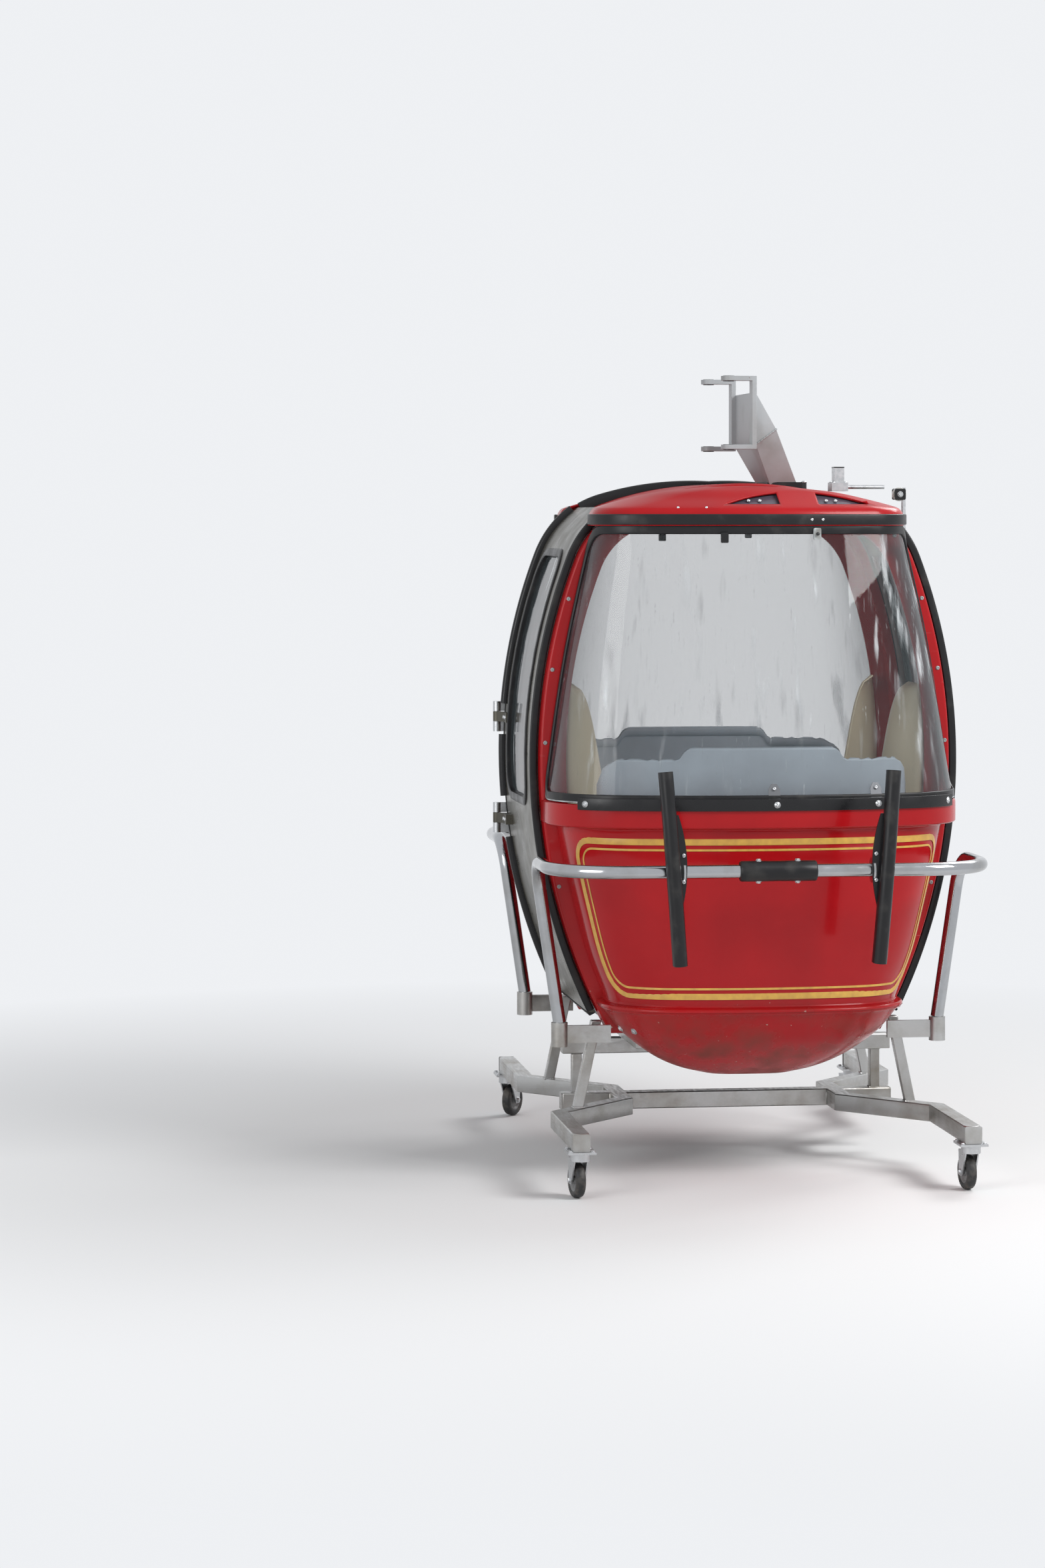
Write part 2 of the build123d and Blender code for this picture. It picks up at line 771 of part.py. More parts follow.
with BuildPart() as tyre:
    with Locations(Location((-trail, 0, wheel_radius), (90, 0, 0))):
        Cylinder(wheel_radius, wheel_width)
        Cylinder(hub_radius, wheel_width, mode=Mode.SUBTRACT)

for name, end, side, turn in castors:
    for piece, kind in ((fork, "fork"), (hub, "hub"), (tyre, "tyre")):
        with BuildPart() as placed:
            with Locations(Location((end * castor_x, side * trolley_toe_y, 0), (0, 0, turn))):
                add(piece.part)
        save(placed, f"castor_{kind}_{name}")
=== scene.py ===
# %% [markdown]
# # A small gondola cabin on its trolley
#
# This lesson dresses the CAD model of an egg-shaped cable car cabin. The CAD holds the solids at
# their real size. Here each moulded shell, window, rubber and bolt gets its own surface, worked
# out with numpy, and each finish is built from nodes. Everything is in metres: +Z is up, +X points
# to the front end of the cabin and the floor is at z = 0.

# %% Load the frame
from math import atan2, cos, pi, radians, sin, sqrt

import bmesh
import bpy
import numpy as np
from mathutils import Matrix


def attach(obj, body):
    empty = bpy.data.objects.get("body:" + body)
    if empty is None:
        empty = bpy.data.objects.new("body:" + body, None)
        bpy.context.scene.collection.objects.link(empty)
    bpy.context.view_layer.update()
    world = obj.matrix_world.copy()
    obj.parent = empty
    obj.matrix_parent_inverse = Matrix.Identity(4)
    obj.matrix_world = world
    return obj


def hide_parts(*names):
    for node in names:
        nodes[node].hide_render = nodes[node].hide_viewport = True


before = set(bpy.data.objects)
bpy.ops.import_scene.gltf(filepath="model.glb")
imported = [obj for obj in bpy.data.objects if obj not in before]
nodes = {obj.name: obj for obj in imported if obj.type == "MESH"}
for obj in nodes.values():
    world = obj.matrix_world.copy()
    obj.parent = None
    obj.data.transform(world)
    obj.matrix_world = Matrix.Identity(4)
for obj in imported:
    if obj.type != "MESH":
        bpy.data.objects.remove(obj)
scene = bpy.context.scene
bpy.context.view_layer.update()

# %% [markdown]
# ## The camera
#
# The photograph was taken from about twelve metres away, at the height of a person's eyes, a
# little to the left of the cabin's nose. A long lens keeps the sides nearly parallel. The horizon
# lies high in the picture, and a vertical shift puts it there while the camera stays level, so
# that upright edges stay upright, as an architect's camera does.

# %% Camera
eye = (12.02, -2.20, 1.90)
turn_deg = 82.5
lens_mm = 93.0
sensor_mm = 36
far_limit = 200
horizon_y, picture_h = 781, 2352

camera_data = bpy.data.cameras.new("camera")
camera = bpy.data.objects.new("camera", camera_data)
scene.collection.objects.link(camera)
camera.location = eye
camera.rotation_euler = (pi / 2, 0, radians(turn_deg))
camera_data.lens = lens_mm
camera_data.sensor_width = sensor_mm
camera_data.shift_y = (horizon_y - picture_h / 2) / picture_h
camera_data.clip_end = far_limit
scene.camera = camera
scene.view_settings.view_transform = "Standard"
print("camera", eye, "shift", round(camera_data.shift_y, 3))

# %% [markdown]
# ## Surfaces from arrays
#
# A surface here is a grid of points: rows of points from one outline after another. The quads
# between neighbouring points follow from the grid's size alone, so one small function serves every
# piece. Both ends of the cabin are alike, so most pieces are made once and mirrored to the rear.

# %% Grids and pieces
def mm(*rows):
    """Rows of millimetres as an array of metres."""
    return np.array(rows) / 1000


def grid_faces(rows, columns, close_rows=False, close_columns=False):
    """Quads between neighbours of a grid; a closed direction joins its last line to its first."""
    r = np.arange(rows if close_rows else rows - 1)
    c = np.arange(columns if close_columns else columns - 1)
    r, c = np.meshgrid(r, c, indexing="ij")
    r_next, c_next = (r + 1) % rows, (c + 1) % columns
    here, below = r * columns, r_next * columns
    return np.stack((here + c, here + c_next, below + c_next, below + c), -1).reshape(-1, 4)


def as_surface(grid, flipped=True):
    """A grid of points with its faces, turned round or as they run."""
    faces = grid_faces(*grid.shape[:2])
    return grid, faces[:, ::-1] if flipped else faces


def merged(shapes):
    """One list of points and one of faces from several (points, faces) pairs."""
    points, faces, start = [], [], 0
    for shape_points, shape_faces in shapes:
        points.append(np.reshape(shape_points, (-1, 3)))
        faces += [(np.asarray(face) + start).tolist() for face in shape_faces]
        start += len(points[-1])
    return np.concatenate(points), faces


def clean(mesh, distance=1e-6, outwards=False, flat_deg=0):
    """Joins points that lie together, turns faces outwards and merges faces that lie flat."""
    shaped = bmesh.new()
    shaped.from_mesh(mesh)
    bmesh.ops.remove_doubles(shaped, verts=shaped.verts, dist=distance)
    if outwards:
        bmesh.ops.recalc_face_normals(shaped, faces=shaped.faces)
    if flat_deg:
        bmesh.ops.dissolve_limit(shaped, angle_limit=radians(flat_deg), verts=shaped.verts,
                                 edges=shaped.edges)
    shaped.to_mesh(mesh)
    shaped.free()


def show(name, mesh, finish, body="cabin", sharp=None, slot=None):
    """Puts a mesh in the scene, with its body and the finish's material.

    Edges that bend more than `sharp` degrees shade crisply. The slot is not used."""
    mesh.polygons.foreach_set("use_smooth", np.ones(len(mesh.polygons), bool))
    mesh.materials.append(finish.material)
    if sharp:
        mesh.set_sharp_from_angle(angle=radians(sharp))
    piece = bpy.data.objects.new(name, mesh)
    scene.collection.objects.link(piece)
    slot = finish.slot if slot is None else slot
    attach(piece, body)
    print(name, len(mesh.polygons), "faces")
    return piece


def make_piece(name, shape, finish, body="cabin", sharp=None, wall=None, slot=None):
    """A piece from (points, faces), which is closed unless a wall is given.

    A sheet is a surface that faces outwards, and its wall is the thickness, offset and even offset
    of Solidify."""
    points, faces = shape
    mesh = bpy.data.meshes.new(name)
    faces = [list(face) for face in faces]
    mesh.from_pydata(np.reshape(points, (-1, 3)).tolist(), [], faces)
    if wall is None:
        clean(mesh, outwards=True)
    piece = show(name, mesh, finish, body, sharp, slot)
    if wall:
        solidify = piece.modifiers.new("wall", "SOLIDIFY")
        solidify.thickness, solidify.offset, solidify.use_even_offset = wall
    return piece


def end_pair(name, shape, finish, sharp=None, wall=None, replaces=None, slot=None):
    """The front piece, and the rear piece in which x changes sign and each face turns round."""
    points, faces = np.reshape(shape[0], (-1, 3)), shape[1]
    mirrored = (points * (-1, 1, 1), [face[::-1] for face in faces])
    pair = []
    for end, its_shape in (("front", (points, faces)), ("rear", mirrored)):
        piece = make_piece(f"{end}_{name}", its_shape, finish, "cabin", sharp, wall, slot)
        if replaces:
            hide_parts(f"{end}_{replaces}")
        pair.append(piece)
    return pair


print("piece helpers ready")

# %% [markdown]
# ## Carrying a profile along a path
#
# Rubber seals, welds, tape and tubes are all one small outline carried along a line. The line's
# direction and the surface it lies on give each station two axes, and the outline is laid out in
# them.

# %% Paths and profiles
def unit(vectors):
    """Vectors of length one."""
    return vectors / np.maximum(np.linalg.norm(vectors, axis=-1, keepdims=True), 1e-12)


def carry(path, normals, profile, closed=False):
    """Carries a closed profile along a path: point = path + a * side + b * normal.

    The path's direction at a point runs from the point before it to the point after it."""
    path, profile = np.asarray(path, float), np.asarray(profile, float)
    step = np.roll(path, -1, 0) - np.roll(path, 1, 0) if closed else np.gradient(path, axis=0)
    forward = unit(step)
    normals = unit(np.broadcast_to(np.asarray(normals, float), path.shape))
    side = unit(np.cross(normals, forward))
    up = np.cross(forward, side)
    sideways, outwards = profile[None, :, :1], profile[None, :, 1:]
    rings = path[:, None] + sideways * side[:, None] + outwards * up[:, None]
    count = len(profile)
    faces = grid_faces(len(path), count, close_rows=closed, close_columns=True).tolist()
    if not closed:
        faces += [list(range(count))[::-1], [(len(path) - 1) * count + k for k in range(count)]]
    return rings, faces


def arc(radius, start, stop, count, centre=(0, 0), endpoint=True):
    """Points of an arc between two angles."""
    t = np.linspace(start, stop, count, endpoint=endpoint)
    return centre + radius * np.stack([np.cos(t), np.sin(t)], -1)


def doubled(half, flip=(-1, 1), middle=()):
    """A symmetrical outline from its half: those points, the middle ones, and the mirrored half."""
    half = np.asarray(half, float)
    return np.concatenate([half, np.reshape(middle, (-1, 2)), half[::-1] * flip])


def slab(width, height, rounding):
    """Outline of a flat strip that lies on its surface, with its two upper corners rounded."""
    corner = arc(rounding, 0, pi / 2, 4, (width / 2 - rounding, height - rounding))
    return doubled([(width / 2, 0), *corner])


def rounded_box(width, height, radius, per_corner=6):
    """Closed outline of a rectangle with round corners, centred on zero."""
    upper = arc(radius, 0, pi / 2, per_corner, (width / 2 - radius, height / 2 - radius))
    right = doubled(upper[::-1], upside_down)[::-1]
    return doubled(right)


def turned(profile, sides=20):
    """Surface of revolution about +Z: the profile's (radius, height) points swung round."""
    radius, height = np.asarray(profile, float).T
    x, y = arc(1, 0, 2 * pi, sides, endpoint=False).T[..., None]
    points = np.stack(np.broadcast_arrays(radius * x, radius * y, height), -1)
    return points, grid_faces(sides, len(height), close_rows=True)


def ring(profile, sides=24):
    """Turned shape that keeps clear of the axis: its last point joins its first."""
    return turned([*profile, profile[0]], sides)


def prism(outline, low, high):
    """Flat plate of any outline, from one height to another."""
    count = len(outline)
    points = np.concatenate([np.c_[outline, np.full(count, height)] for height in (low, high)])
    lids = [list(range(count))[::-1], list(range(count, 2 * count))]
    return points, [*grid_faces(2, count, close_columns=True).tolist(), *lids]


def planted(shape, spots, normals, spin=0.0):
    """Copies of a shape with its +Z axis along each normal, standing on each spot."""
    points, faces = shape
    spots = np.atleast_2d(spots).astype(float)
    normals = unit(np.broadcast_to(np.asarray(normals, float), spots.shape))
    helper = np.where(np.abs(normals[:, 2:]) < 0.9, (0.0, 0.0, 1.0), (1.0, 0.0, 0.0))
    first = unit(np.cross(helper, normals))
    second = np.cross(normals, first)
    first, second = cos(spin) * first + sin(spin) * second, cos(spin) * second - sin(spin) * first
    axes = np.stack([first, second, normals], 1)
    placed = spots[:, None] + np.reshape(points, (-1, 3)) @ axes
    return merged([(copy, faces) for copy in placed])


upside_down = (1, -1)
print("path helpers ready")

# %% [markdown]
# ## The outline of an end shell
#
# Seen from above, each end of the cabin is a letter D: straight sides, round corners and a nose
# that bows gently outwards. Every height has its own half width, reach and corner. A table of a few
# heights, with a smooth line through them, gives the whole moulding.

# %% Plan sections
nose_bow = 1.5
rim_x = 0.335
shell_back_x = 0.300


def plan_points(half, nose, corner, back_x, counts=(5, 15, 31)):
    """Points of the letter D at each row: side line, corner arc, nose, corner arc, side line."""
    half, nose, corner = (np.atleast_1d(v).astype(float)[:, None] for v in (half, nose, corner))
    corner_y = half - corner
    corner_x = nose - nose_bow + np.sqrt((nose_bow - corner) ** 2 - corner_y**2)
    bow_angle = np.arctan2(corner_y, corner_x - (nose - nose_bow))
    side, swing = (np.linspace(0, 1, count)[None, :-1] for count in counts[:2])
    side_x = back_x + (corner_x - back_x) * side
    turn = pi / 2 + (bow_angle - pi / 2) * swing
    turn_x, turn_y = corner_x + corner * np.cos(turn), corner_y + corner * np.sin(turn)
    bow = bow_angle * np.linspace(1, -1, counts[2])
    bow_x, bow_y = nose - nose_bow + nose_bow * np.cos(bow), nose_bow * np.sin(bow)
    x = np.concatenate([side_x, turn_x, bow_x, turn_x[:, ::-1], side_x[:, ::-1]], 1)
    y = np.concatenate([half + 0 * side_x, turn_y, bow_y, -turn_y[:, ::-1], -half - 0 * side_x], 1)
    return np.stack([x, y], -1)


def smooth_rows(table, per_step=6):
    """A Catmull-Rom line through the rows of a table, so that columns change smoothly together."""
    table = np.asarray(table, float)
    padded = np.concatenate([2 * table[:1] - table[1:2], table, 2 * table[-1:] - table[-2:-1]])
    t = np.linspace(0, 1, per_step, endpoint=False)[None, :, None]
    p0, p1, p2, p3 = (padded[k:len(padded) - 3 + k, None] for k in range(4))
    curve = (2 * p0 - 5 * p1 + 4 * p2 - p3) * t**2 + (3 * p1 - p0 - 3 * p2 + p3) * t**3
    line = 0.5 * (2 * p1 + (p2 - p0) * t + curve)
    return np.concatenate([line.reshape(-1, table.shape[1]), table[-1:]])


def end_surface(table, back_x, per_step=6):
    """Grid points of an end moulding from a table of height, half width, nose reach and corner."""
    height, half, nose, corner = smooth_rows(table, per_step).T
    outline = plan_points(half, nose, corner, back_x)
    heights = np.broadcast_to(height[:, None, None], (*outline.shape[:2], 1))
    return np.concatenate([outline, heights], -1)


def table_at(table, height, per_step=10):
    """Half width, nose reach and corner of a table at any heights."""
    rows = smooth_rows(table, per_step)
    rows = rows[np.argsort(rows[:, 0], kind="stable")]
    return [np.interp(height, rows[:, 0], rows[:, k]) for k in (1, 2, 3)]


fine_counts = (9, 25, 61)
normal_step = 0.004


def outline_length(outline):
    """Length along each outline up to each of its points."""
    steps = np.linalg.norm(np.diff(outline, axis=1), axis=-1)
    return np.concatenate([np.zeros((len(steps), 1)), np.cumsum(steps, 1)], 1)


def at_length(outline, length, target):
    """The point of each outline at which its own length reaches a target."""
    row = np.arange(len(target))
    after = np.clip((length < target[:, None]).sum(1), 1, length.shape[1] - 1)
    low, high = length[row, after - 1], length[row, after]
    share = np.clip((target - low) / np.maximum(high - low, 1e-12), 0, 1)[:, None]
    return outline[row, after - 1] * (1 - share) + outline[row, after] * share


def on_end(table, around, height, lift=0.0):
    """Points and outward normals at a distance around from the nose and at a height.

    The outline at each height is measured along its length from the nose, so the point is where the
    measured length equals around. The normal is the outline's side direction."""
    around, height = np.broadcast_arrays(np.asarray(around, float), np.asarray(height, float))
    outline = plan_points(*table_at(table, height, 12), rim_x, fine_counts)
    length = outline_length(outline)
    length -= length[:, -1:] / 2
    spots = at_length(outline, length, -around)
    ahead = at_length(outline, length, normal_step - around) - spots
    normals = unit(np.stack([-ahead[:, 1], ahead[:, 0], 0 * around], -1))
    return np.c_[spots, height] + lift * normals, normals


# Heights with half width, reach of the nose and corner radius
lower_table = mm(
    (288, 135, 400, 80), (306, 205, 450, 120), (334, 268, 505, 155), (372, 325, 556, 180),
    (420, 381, 605, 205), (484, 431, 642, 218), (489, 440, 650, 221), (496, 443.5, 653.5, 222),
    (502, 443, 653, 221), (506, 439, 648, 219), (508.5, 432, 640, 216), (512, 426.5, 634, 213),
    (530, 430, 636, 215), (650, 476, 652, 226), (780, 510, 664, 235), (900, 538.5, 670.5, 240),
    (990, 557, 675, 244.5), (1012, 562, 676.5, 245), (1019.5, 568, 679, 246),
    (1021.5, 585, 684, 248), (1022.5, 598, 693, 249), (1026, 604, 699, 250), (1035, 605, 700, 250),
    (1078, 605, 700, 250), (1086, 604, 699, 250), (1090, 599, 694, 248),
)
window_table = mm((1090, 598, 692, 250), (1500, 538, 610, 205), (1885, 455, 533, 150))
cap_table = mm(
    (1885, 460, 542, 158), (1888, 466, 548, 160), (1910, 464, 545, 157), (1930, 455, 538, 150),
    (1942, 435, 524, 144), (1965, 350, 480, 130), (1982, 270, 452, 105), (1991, 200, 430, 90),
    (1999, 120, 390, 50),
)
print("sections", len(lower_table), len(window_table), len(cap_table))

# %% [markdown]
# ## Finishes
#
# A finish is a small network of nodes that reads the object's own coordinates, so the pattern
# sticks to the piece. The classes below make the network's start: the main shader, and helpers that
# add noise, ramps and bumps by name.

# %% Finish helpers
class Nodes:
    """A node tree, and short calls for the nodes in it."""

    def __init__(self, tree):
        self.tree = tree

    def node(self, kind, operation=None, **links):
        """Adds a node; a socket link or a plain value is given by the input's name."""
        node = self.tree.nodes.new(kind)
        if operation:
            node.operation = operation
        self.feed(node, **links)
        return node

    def feed(self, node, **links):
        """Links sockets to a node's inputs, or writes values, by name or by number."""
        for name, value in links.items():
            socket = node.inputs[int(name[1:]) if name[1:].isdigit() else name.replace("_", " ")]
            if isinstance(value, bpy.types.NodeSocket):
                self.tree.links.new(value, socket)
            else:
                socket.default_value = value

    def band(self, value, low, high, start=0.0, end=1.0):
        """Maps low..high to start..end and keeps it there outside."""
        node = self.node("ShaderNodeMapRange", Value=value, From_Min=low, From_Max=high,
                         To_Min=start, To_Max=end)
        return node.outputs["Result"]

    def maths(self, operation, first, second):
        """One sum of two values."""
        return self.node("ShaderNodeMath", operation, _0=first, _1=second).outputs[0]

    def both(self, first, second):
        """Where one mask and another overlap."""
        return self.maths("MULTIPLY", first, second)


class Finish(Nodes):
    """A material with its shader and the name of a slot."""

    def __init__(self, name, slot, colour, roughness, **sockets):
        self.material = bpy.data.materials.new(name)
        self.material.use_nodes = True
        super().__init__(self.material.node_tree)
        self.slot = slot
        self.shader = self.tree.nodes["Principled BSDF"]
        self.place = self.node("ShaderNodeTexCoord").outputs["Object"]
        self.set(Base_Color=(*colour, 1), Roughness=roughness, **sockets)

    def set(self, **sockets):
        """Links or writes inputs of the shader."""
        self.feed(self.shader, **sockets)

    def stretched(self, *scale):
        """The object's coordinates, scaled along each axis, for streaks and grain."""
        return self.node("ShaderNodeMapping", Vector=self.place, Scale=scale).outputs["Vector"]

    def noise(self, scale, detail, vector=None, roughness=0.55):
        """Cloudy noise between 0 and 1."""
        return self.node("ShaderNodeTexNoise", Vector=vector or self.place, Scale=scale,
                         Detail=detail, Roughness=roughness).outputs["Fac"]

    def mix(self, factor, first, second):
        """Blends two colours."""
        node = self.node("ShaderNodeMix")
        node.data_type = "RGBA"
        first, second = (colour if isinstance(colour, bpy.types.NodeSocket) else (*colour, 1)
                         for colour in (first, second))
        self.feed(node, Factor=factor, _6=first, _7=second)
        return node.outputs[2]

    def height(self):
        """How high a point is above the floor."""
        return self.node("ShaderNodeSeparateXYZ", Vector=self.place).outputs["Z"]

    def pattern(self, value):
        """A value as it is, or the noise that a pair of scale and detail stands for."""
        return self.noise(*value) if isinstance(value, tuple) else value

    def bump(self, value, strength, distance):
        """A small relief from a pattern."""
        node = self.node("ShaderNodeBump", Height=self.pattern(value), Strength=strength,
                         Distance=distance)
        self.set(Normal=node.outputs["Normal"])

    def two_tone(self, value, low, high, first, second):
        """Goes from one colour to another where a pattern rises from low to high."""
        self.set(Base_Color=self.mix(self.band(self.pattern(value), low, high), first, second))

    def gloss(self, value, low, high, start, end):
        """Goes from one roughness to another where a pattern rises from low to high."""
        self.set(Roughness=self.band(self.pattern(value), low, high, start, end))


print("finish helpers ready")

# %% [markdown]
# ## Red gelcoat
#
# The shells are moulded in glass fibre with a glossy red skin. Years of use left fine scratches,
# paler scuffs where luggage rubs, chips that show the pale laminate low down, and a brown haze of
# dust on the belly. One shader holds all of that: thin stretched noise for scratches, and height
# above the floor for the dirt.

# %% Red gelcoat
red = Finish("red_gelcoat", "red_gloss", (0.40, 0.006, 0.009), 0.22, Specular_IOR_Level=0.2,
             Coat_Weight=0.14, Coat_Roughness=0.05)
clouds = red.noise(2.2, 5.0)
fine_scratch = red.noise(70.0, 2.0, red.stretched(1.0, 1.0, 0.06))
long_scratch = red.noise(30.0, 2.0, red.stretched(0.25, 0.25, 4.0))
chips = red.noise(58.0, 6.0)
grime = red.both(red.band(red.height(), 0.56, 0.36), red.band(red.noise(9.0, 8.0), 0.42, 0.66))
chip_mask = red.both(red.band(red.height(), 0.60, 0.40), red.band(chips, 0.70, 0.72))
scratch_mask = red.both(red.band(fine_scratch, 0.70, 0.78), red.band(clouds, 0.50, 0.62))
line_mask = red.both(red.band(long_scratch, 0.73, 0.76), red.band(clouds, 0.52, 0.60))
shade = red.mix(red.band(clouds, 0.3, 0.7), (0.33, 0.004, 0.007), (0.44, 0.007, 0.010))
shade = red.mix(red.both(scratch_mask, 0.35), shade, (0.55, 0.20, 0.18))
shade = red.mix(red.both(line_mask, 0.45), shade, (0.60, 0.30, 0.27))
shade = red.mix(red.both(grime, 0.65), shade, (0.085, 0.045, 0.030))
red.set(Base_Color=red.mix(chip_mask, shade, (0.50, 0.47, 0.40)))
faded = red.band(red.height(), 1.925, 1.985)
red.set(Coat_Weight=red.band(red.height(), 1.90, 1.96, 0.14, 0.0))
dull = red.maths("ADD", red.both(grime, 0.35), red.both(faded, 0.30))
red.set(Roughness=red.maths("ADD", red.band(clouds, 0.3, 0.7, 0.16, 0.30), dull))
red.bump((5.0, 3.0), 0.10, 0.004)
print("red gelcoat nodes", len(red.tree.nodes))

# %% [markdown]
# ## The moulded shells
#
# The real shell is one hollow moulding: a rounded belly, a ledge, a recessed panel and the belt
# that carries the window. It could be sculpted, but a section table keeps it even and exact. Two
# last small outlines draw the grid together underneath, and Solidify gives the wall.

# %% Lower shells
keel_width, keel_reach, keel_drop, keel_share, middle_drop = 0.03, 0.55, 0.004, 0.45, 0.003
shell_wall = (0.008, -1.0, True)


def drawn_in(row, width, reach, rise):
    """A row of points drawn in towards the middle of the cabin, and raised."""
    x, y, z = row[..., 0], row[..., 1], row[..., 2]
    return np.stack([shell_back_x + (x - shell_back_x) * reach, y * width, z + rise], -1)


def lower_shell():
    """Rows of the lower moulding, from a pinched first row under the belly up to the belt."""
    grid = end_surface(lower_table, shell_back_x)
    keel = drawn_in(grid[:1], keel_width, keel_reach, -keel_drop)
    middle = grid[:1] * (1 - keel_share) + keel * keel_share
    middle[..., 2] = grid[0, 0, 2] - middle_drop
    return as_surface(np.concatenate([keel, middle, grid]))


end_pair("lower_moulding", lower_shell(), red, wall=shell_wall)

# %% [markdown]
# ## The roof caps and their vents
#
# The cap over each window is a shallow dome with a crescent slot for air, and a tongue in the
# middle of the slot. A hole could be cut with a Boolean. Here the grid's own rows follow the
# crescent instead: below the slot a row runs level, above it a row runs along the arc, and the
# faces between the two are left out. The edges stay clean and the quads stay even.

# %% Caps
vent_low_z, vent_crown_z = 1.948, 1.985
vent_low_y, vent_high_y = -0.095, 0.345
vent_middle_y = (vent_low_y + vent_high_y) / 2
tongue_half = 0.060
side_points, turn_points, nose_points = cap_counts = (6, 25, 101)
cap_columns = 2 * (side_points - 1) + 2 * (turn_points - 1) + nose_points
cap_rows, cap_crowding = 16, 0.85
ridge_width, ridge_reach, ridge_rise = 0.04, 0.7, 0.003
cap_wall = (0.006, -1.0, False)
seam = 1e-5


def vent_top(y):
    """Height of the slot's upper edge: an arc through both ends of the slot and its crown."""
    half, rise = (vent_high_y - vent_low_y) / 2, vent_crown_z - vent_low_z
    radius = (half**2 + rise**2) / (2 * rise)
    inside = np.clip(radius**2 - (y - vent_middle_y) ** 2, (radius - rise) ** 2, None)
    return vent_low_z + np.sqrt(inside) - (radius - rise)


def surface_at(table, heights, back_x, counts):
    """Points at a grid of heights: each column keeps its place along the outline of its height."""
    rows, columns = heights.shape
    outline = plan_points(*table_at(table, heights.ravel()), back_x, counts)
    picked = outline[np.arange(rows * columns), np.tile(np.arange(columns), rows)]
    return np.concatenate([picked, heights.reshape(-1, 1)], 1).reshape(rows, columns, 3)


def nose_x(half, nose, corner, y):
    """How far the outline reaches at a distance y from the middle, on its nose or corner arc."""
    corner_y = half - corner
    bow_x = nose - nose_bow
    corner_x = bow_x + np.sqrt((nose_bow - corner) ** 2 - corner_y**2)
    on_bow = bow_x + np.sqrt(nose_bow**2 - y**2)
    on_corner = corner_x + np.sqrt(np.clip(corner**2 - (np.abs(y) - corner_y) ** 2, 0, None))
    return np.where(np.abs(y) <= corner_y * nose_bow / (nose_bow - corner), on_bow, on_corner)


def cap_shape():
    """Points and faces of the cap without the faces of the slot.

    Rows run level up to the slot. The row above it starts on the slot's arc, straight over the row
    below, and the rows after that draw in towards the roof's crest."""
    level = smooth_rows(cap_table[:5, :1], 4)[:, 0]
    level = np.append(level[level < vent_low_z - 0.002], vent_low_z)
    levels = np.repeat(level[:, None], cap_columns, 1)
    low = surface_at(cap_table, levels, shell_back_x, cap_counts)
    across = low[-1, :, 1]
    in_slot = (across > vent_low_y) & (across < vent_high_y)
    edge = np.where(in_slot, vent_top(across), vent_low_z)
    share = np.linspace(0, 1, cap_rows)[:, None] ** cap_crowding
    heights = edge + (cap_table[-1][0] - edge) * share
    high = surface_at(cap_table, heights, shell_back_x, cap_counts)
    half, nose, corner = (v.reshape(heights.shape) for v in table_at(cap_table, heights.ravel()))
    y = across * half / half[0]
    rounded = np.arange(cap_columns)
    rounded = (rounded >= side_points - 1) & (rounded < cap_columns - side_points + 1)
    high[..., 0] = np.where(rounded, nose_x(half, nose, corner, y), high[..., 0])
    high[..., 1] = np.where(rounded, y, high[..., 1])
    high[0] = np.where(in_slot[:, None], high[0], low[-1])
    grid = np.concatenate([low, high, drawn_in(high[-1:], ridge_width, ridge_reach, ridge_rise)])
    faces = grid_faces(*grid.shape[:2]).reshape(grid.shape[0] - 1, grid.shape[1] - 1, 4)
    middle = (across[:-1] + across[1:]) / 2
    keep = np.ones(faces.shape[:2], bool)
    keep[len(low) - 1] = (np.abs(middle - vent_middle_y) < tongue_half) & in_slot[:-1] & in_slot[1:]
    return grid, faces[keep][:, ::-1]


for cap in end_pair("roof_cap", cap_shape(), red, wall=cap_wall):
    clean(cap.data, seam)

# %% [markdown]
# ## The rims that frame the doors
#
# Where a shell meets the door opening it ends in a deep rim with a flange for the window. From the
# front it is an arch of three circles: one for each bulging side and one for the roof, joined by
# round shoulders. Growing every radius by the same amount gives a parallel arch, so one function
# serves the rim, its seal and everything else that runs round the door opening.

# %% Door arch
arch_half, arch_widest_z, arch_side_radius = 0.612, 1.200, 1.650
arch_top_radius, roof_z, shoulder_radius, sill_z = 1.000, 2.010, 0.280, 0.400
side_centre_y = arch_half - arch_side_radius
roof_centre_z = roof_z - arch_top_radius


def half_arch(grow=0.0):
    """Right half of the arch as (y, z) points: side arc, shoulder and roof up to the middle.

    The shoulder's centre is where two circles cross above the line between their centres: the
    side's and the roof's, each less the shoulder's radius."""
    side_centre, roof_centre = np.array([(side_centre_y, arch_widest_z), (0.0, roof_centre_z)])
    reach_side, reach_roof = arch_side_radius - shoulder_radius, arch_top_radius - shoulder_radius
    gap = roof_centre - side_centre
    distance = np.hypot(*gap)
    along_gap = (reach_side**2 - reach_roof**2 + distance**2) / (2 * distance)
    across_gap = sqrt(reach_side**2 - along_gap**2)
    direction = gap / distance
    upwards = direction[::-1] * (-1, 1)
    shoulder = side_centre + along_gap * direction + across_gap * upwards
    side_end = atan2(*(shoulder - side_centre)[::-1])
    roof_start = atan2(*(shoulder - roof_centre)[::-1])
    side_start = np.arcsin((sill_z - grow - arch_widest_z) / (arch_side_radius + grow))
    return np.concatenate([
        arc(arch_side_radius + grow, side_start, side_end, 48, side_centre),
        arc(shoulder_radius + grow, side_end, roof_start, 24, shoulder)[1:],
        arc(arch_top_radius + grow, roof_start, pi / 2, 24, roof_centre)[1:],
    ])


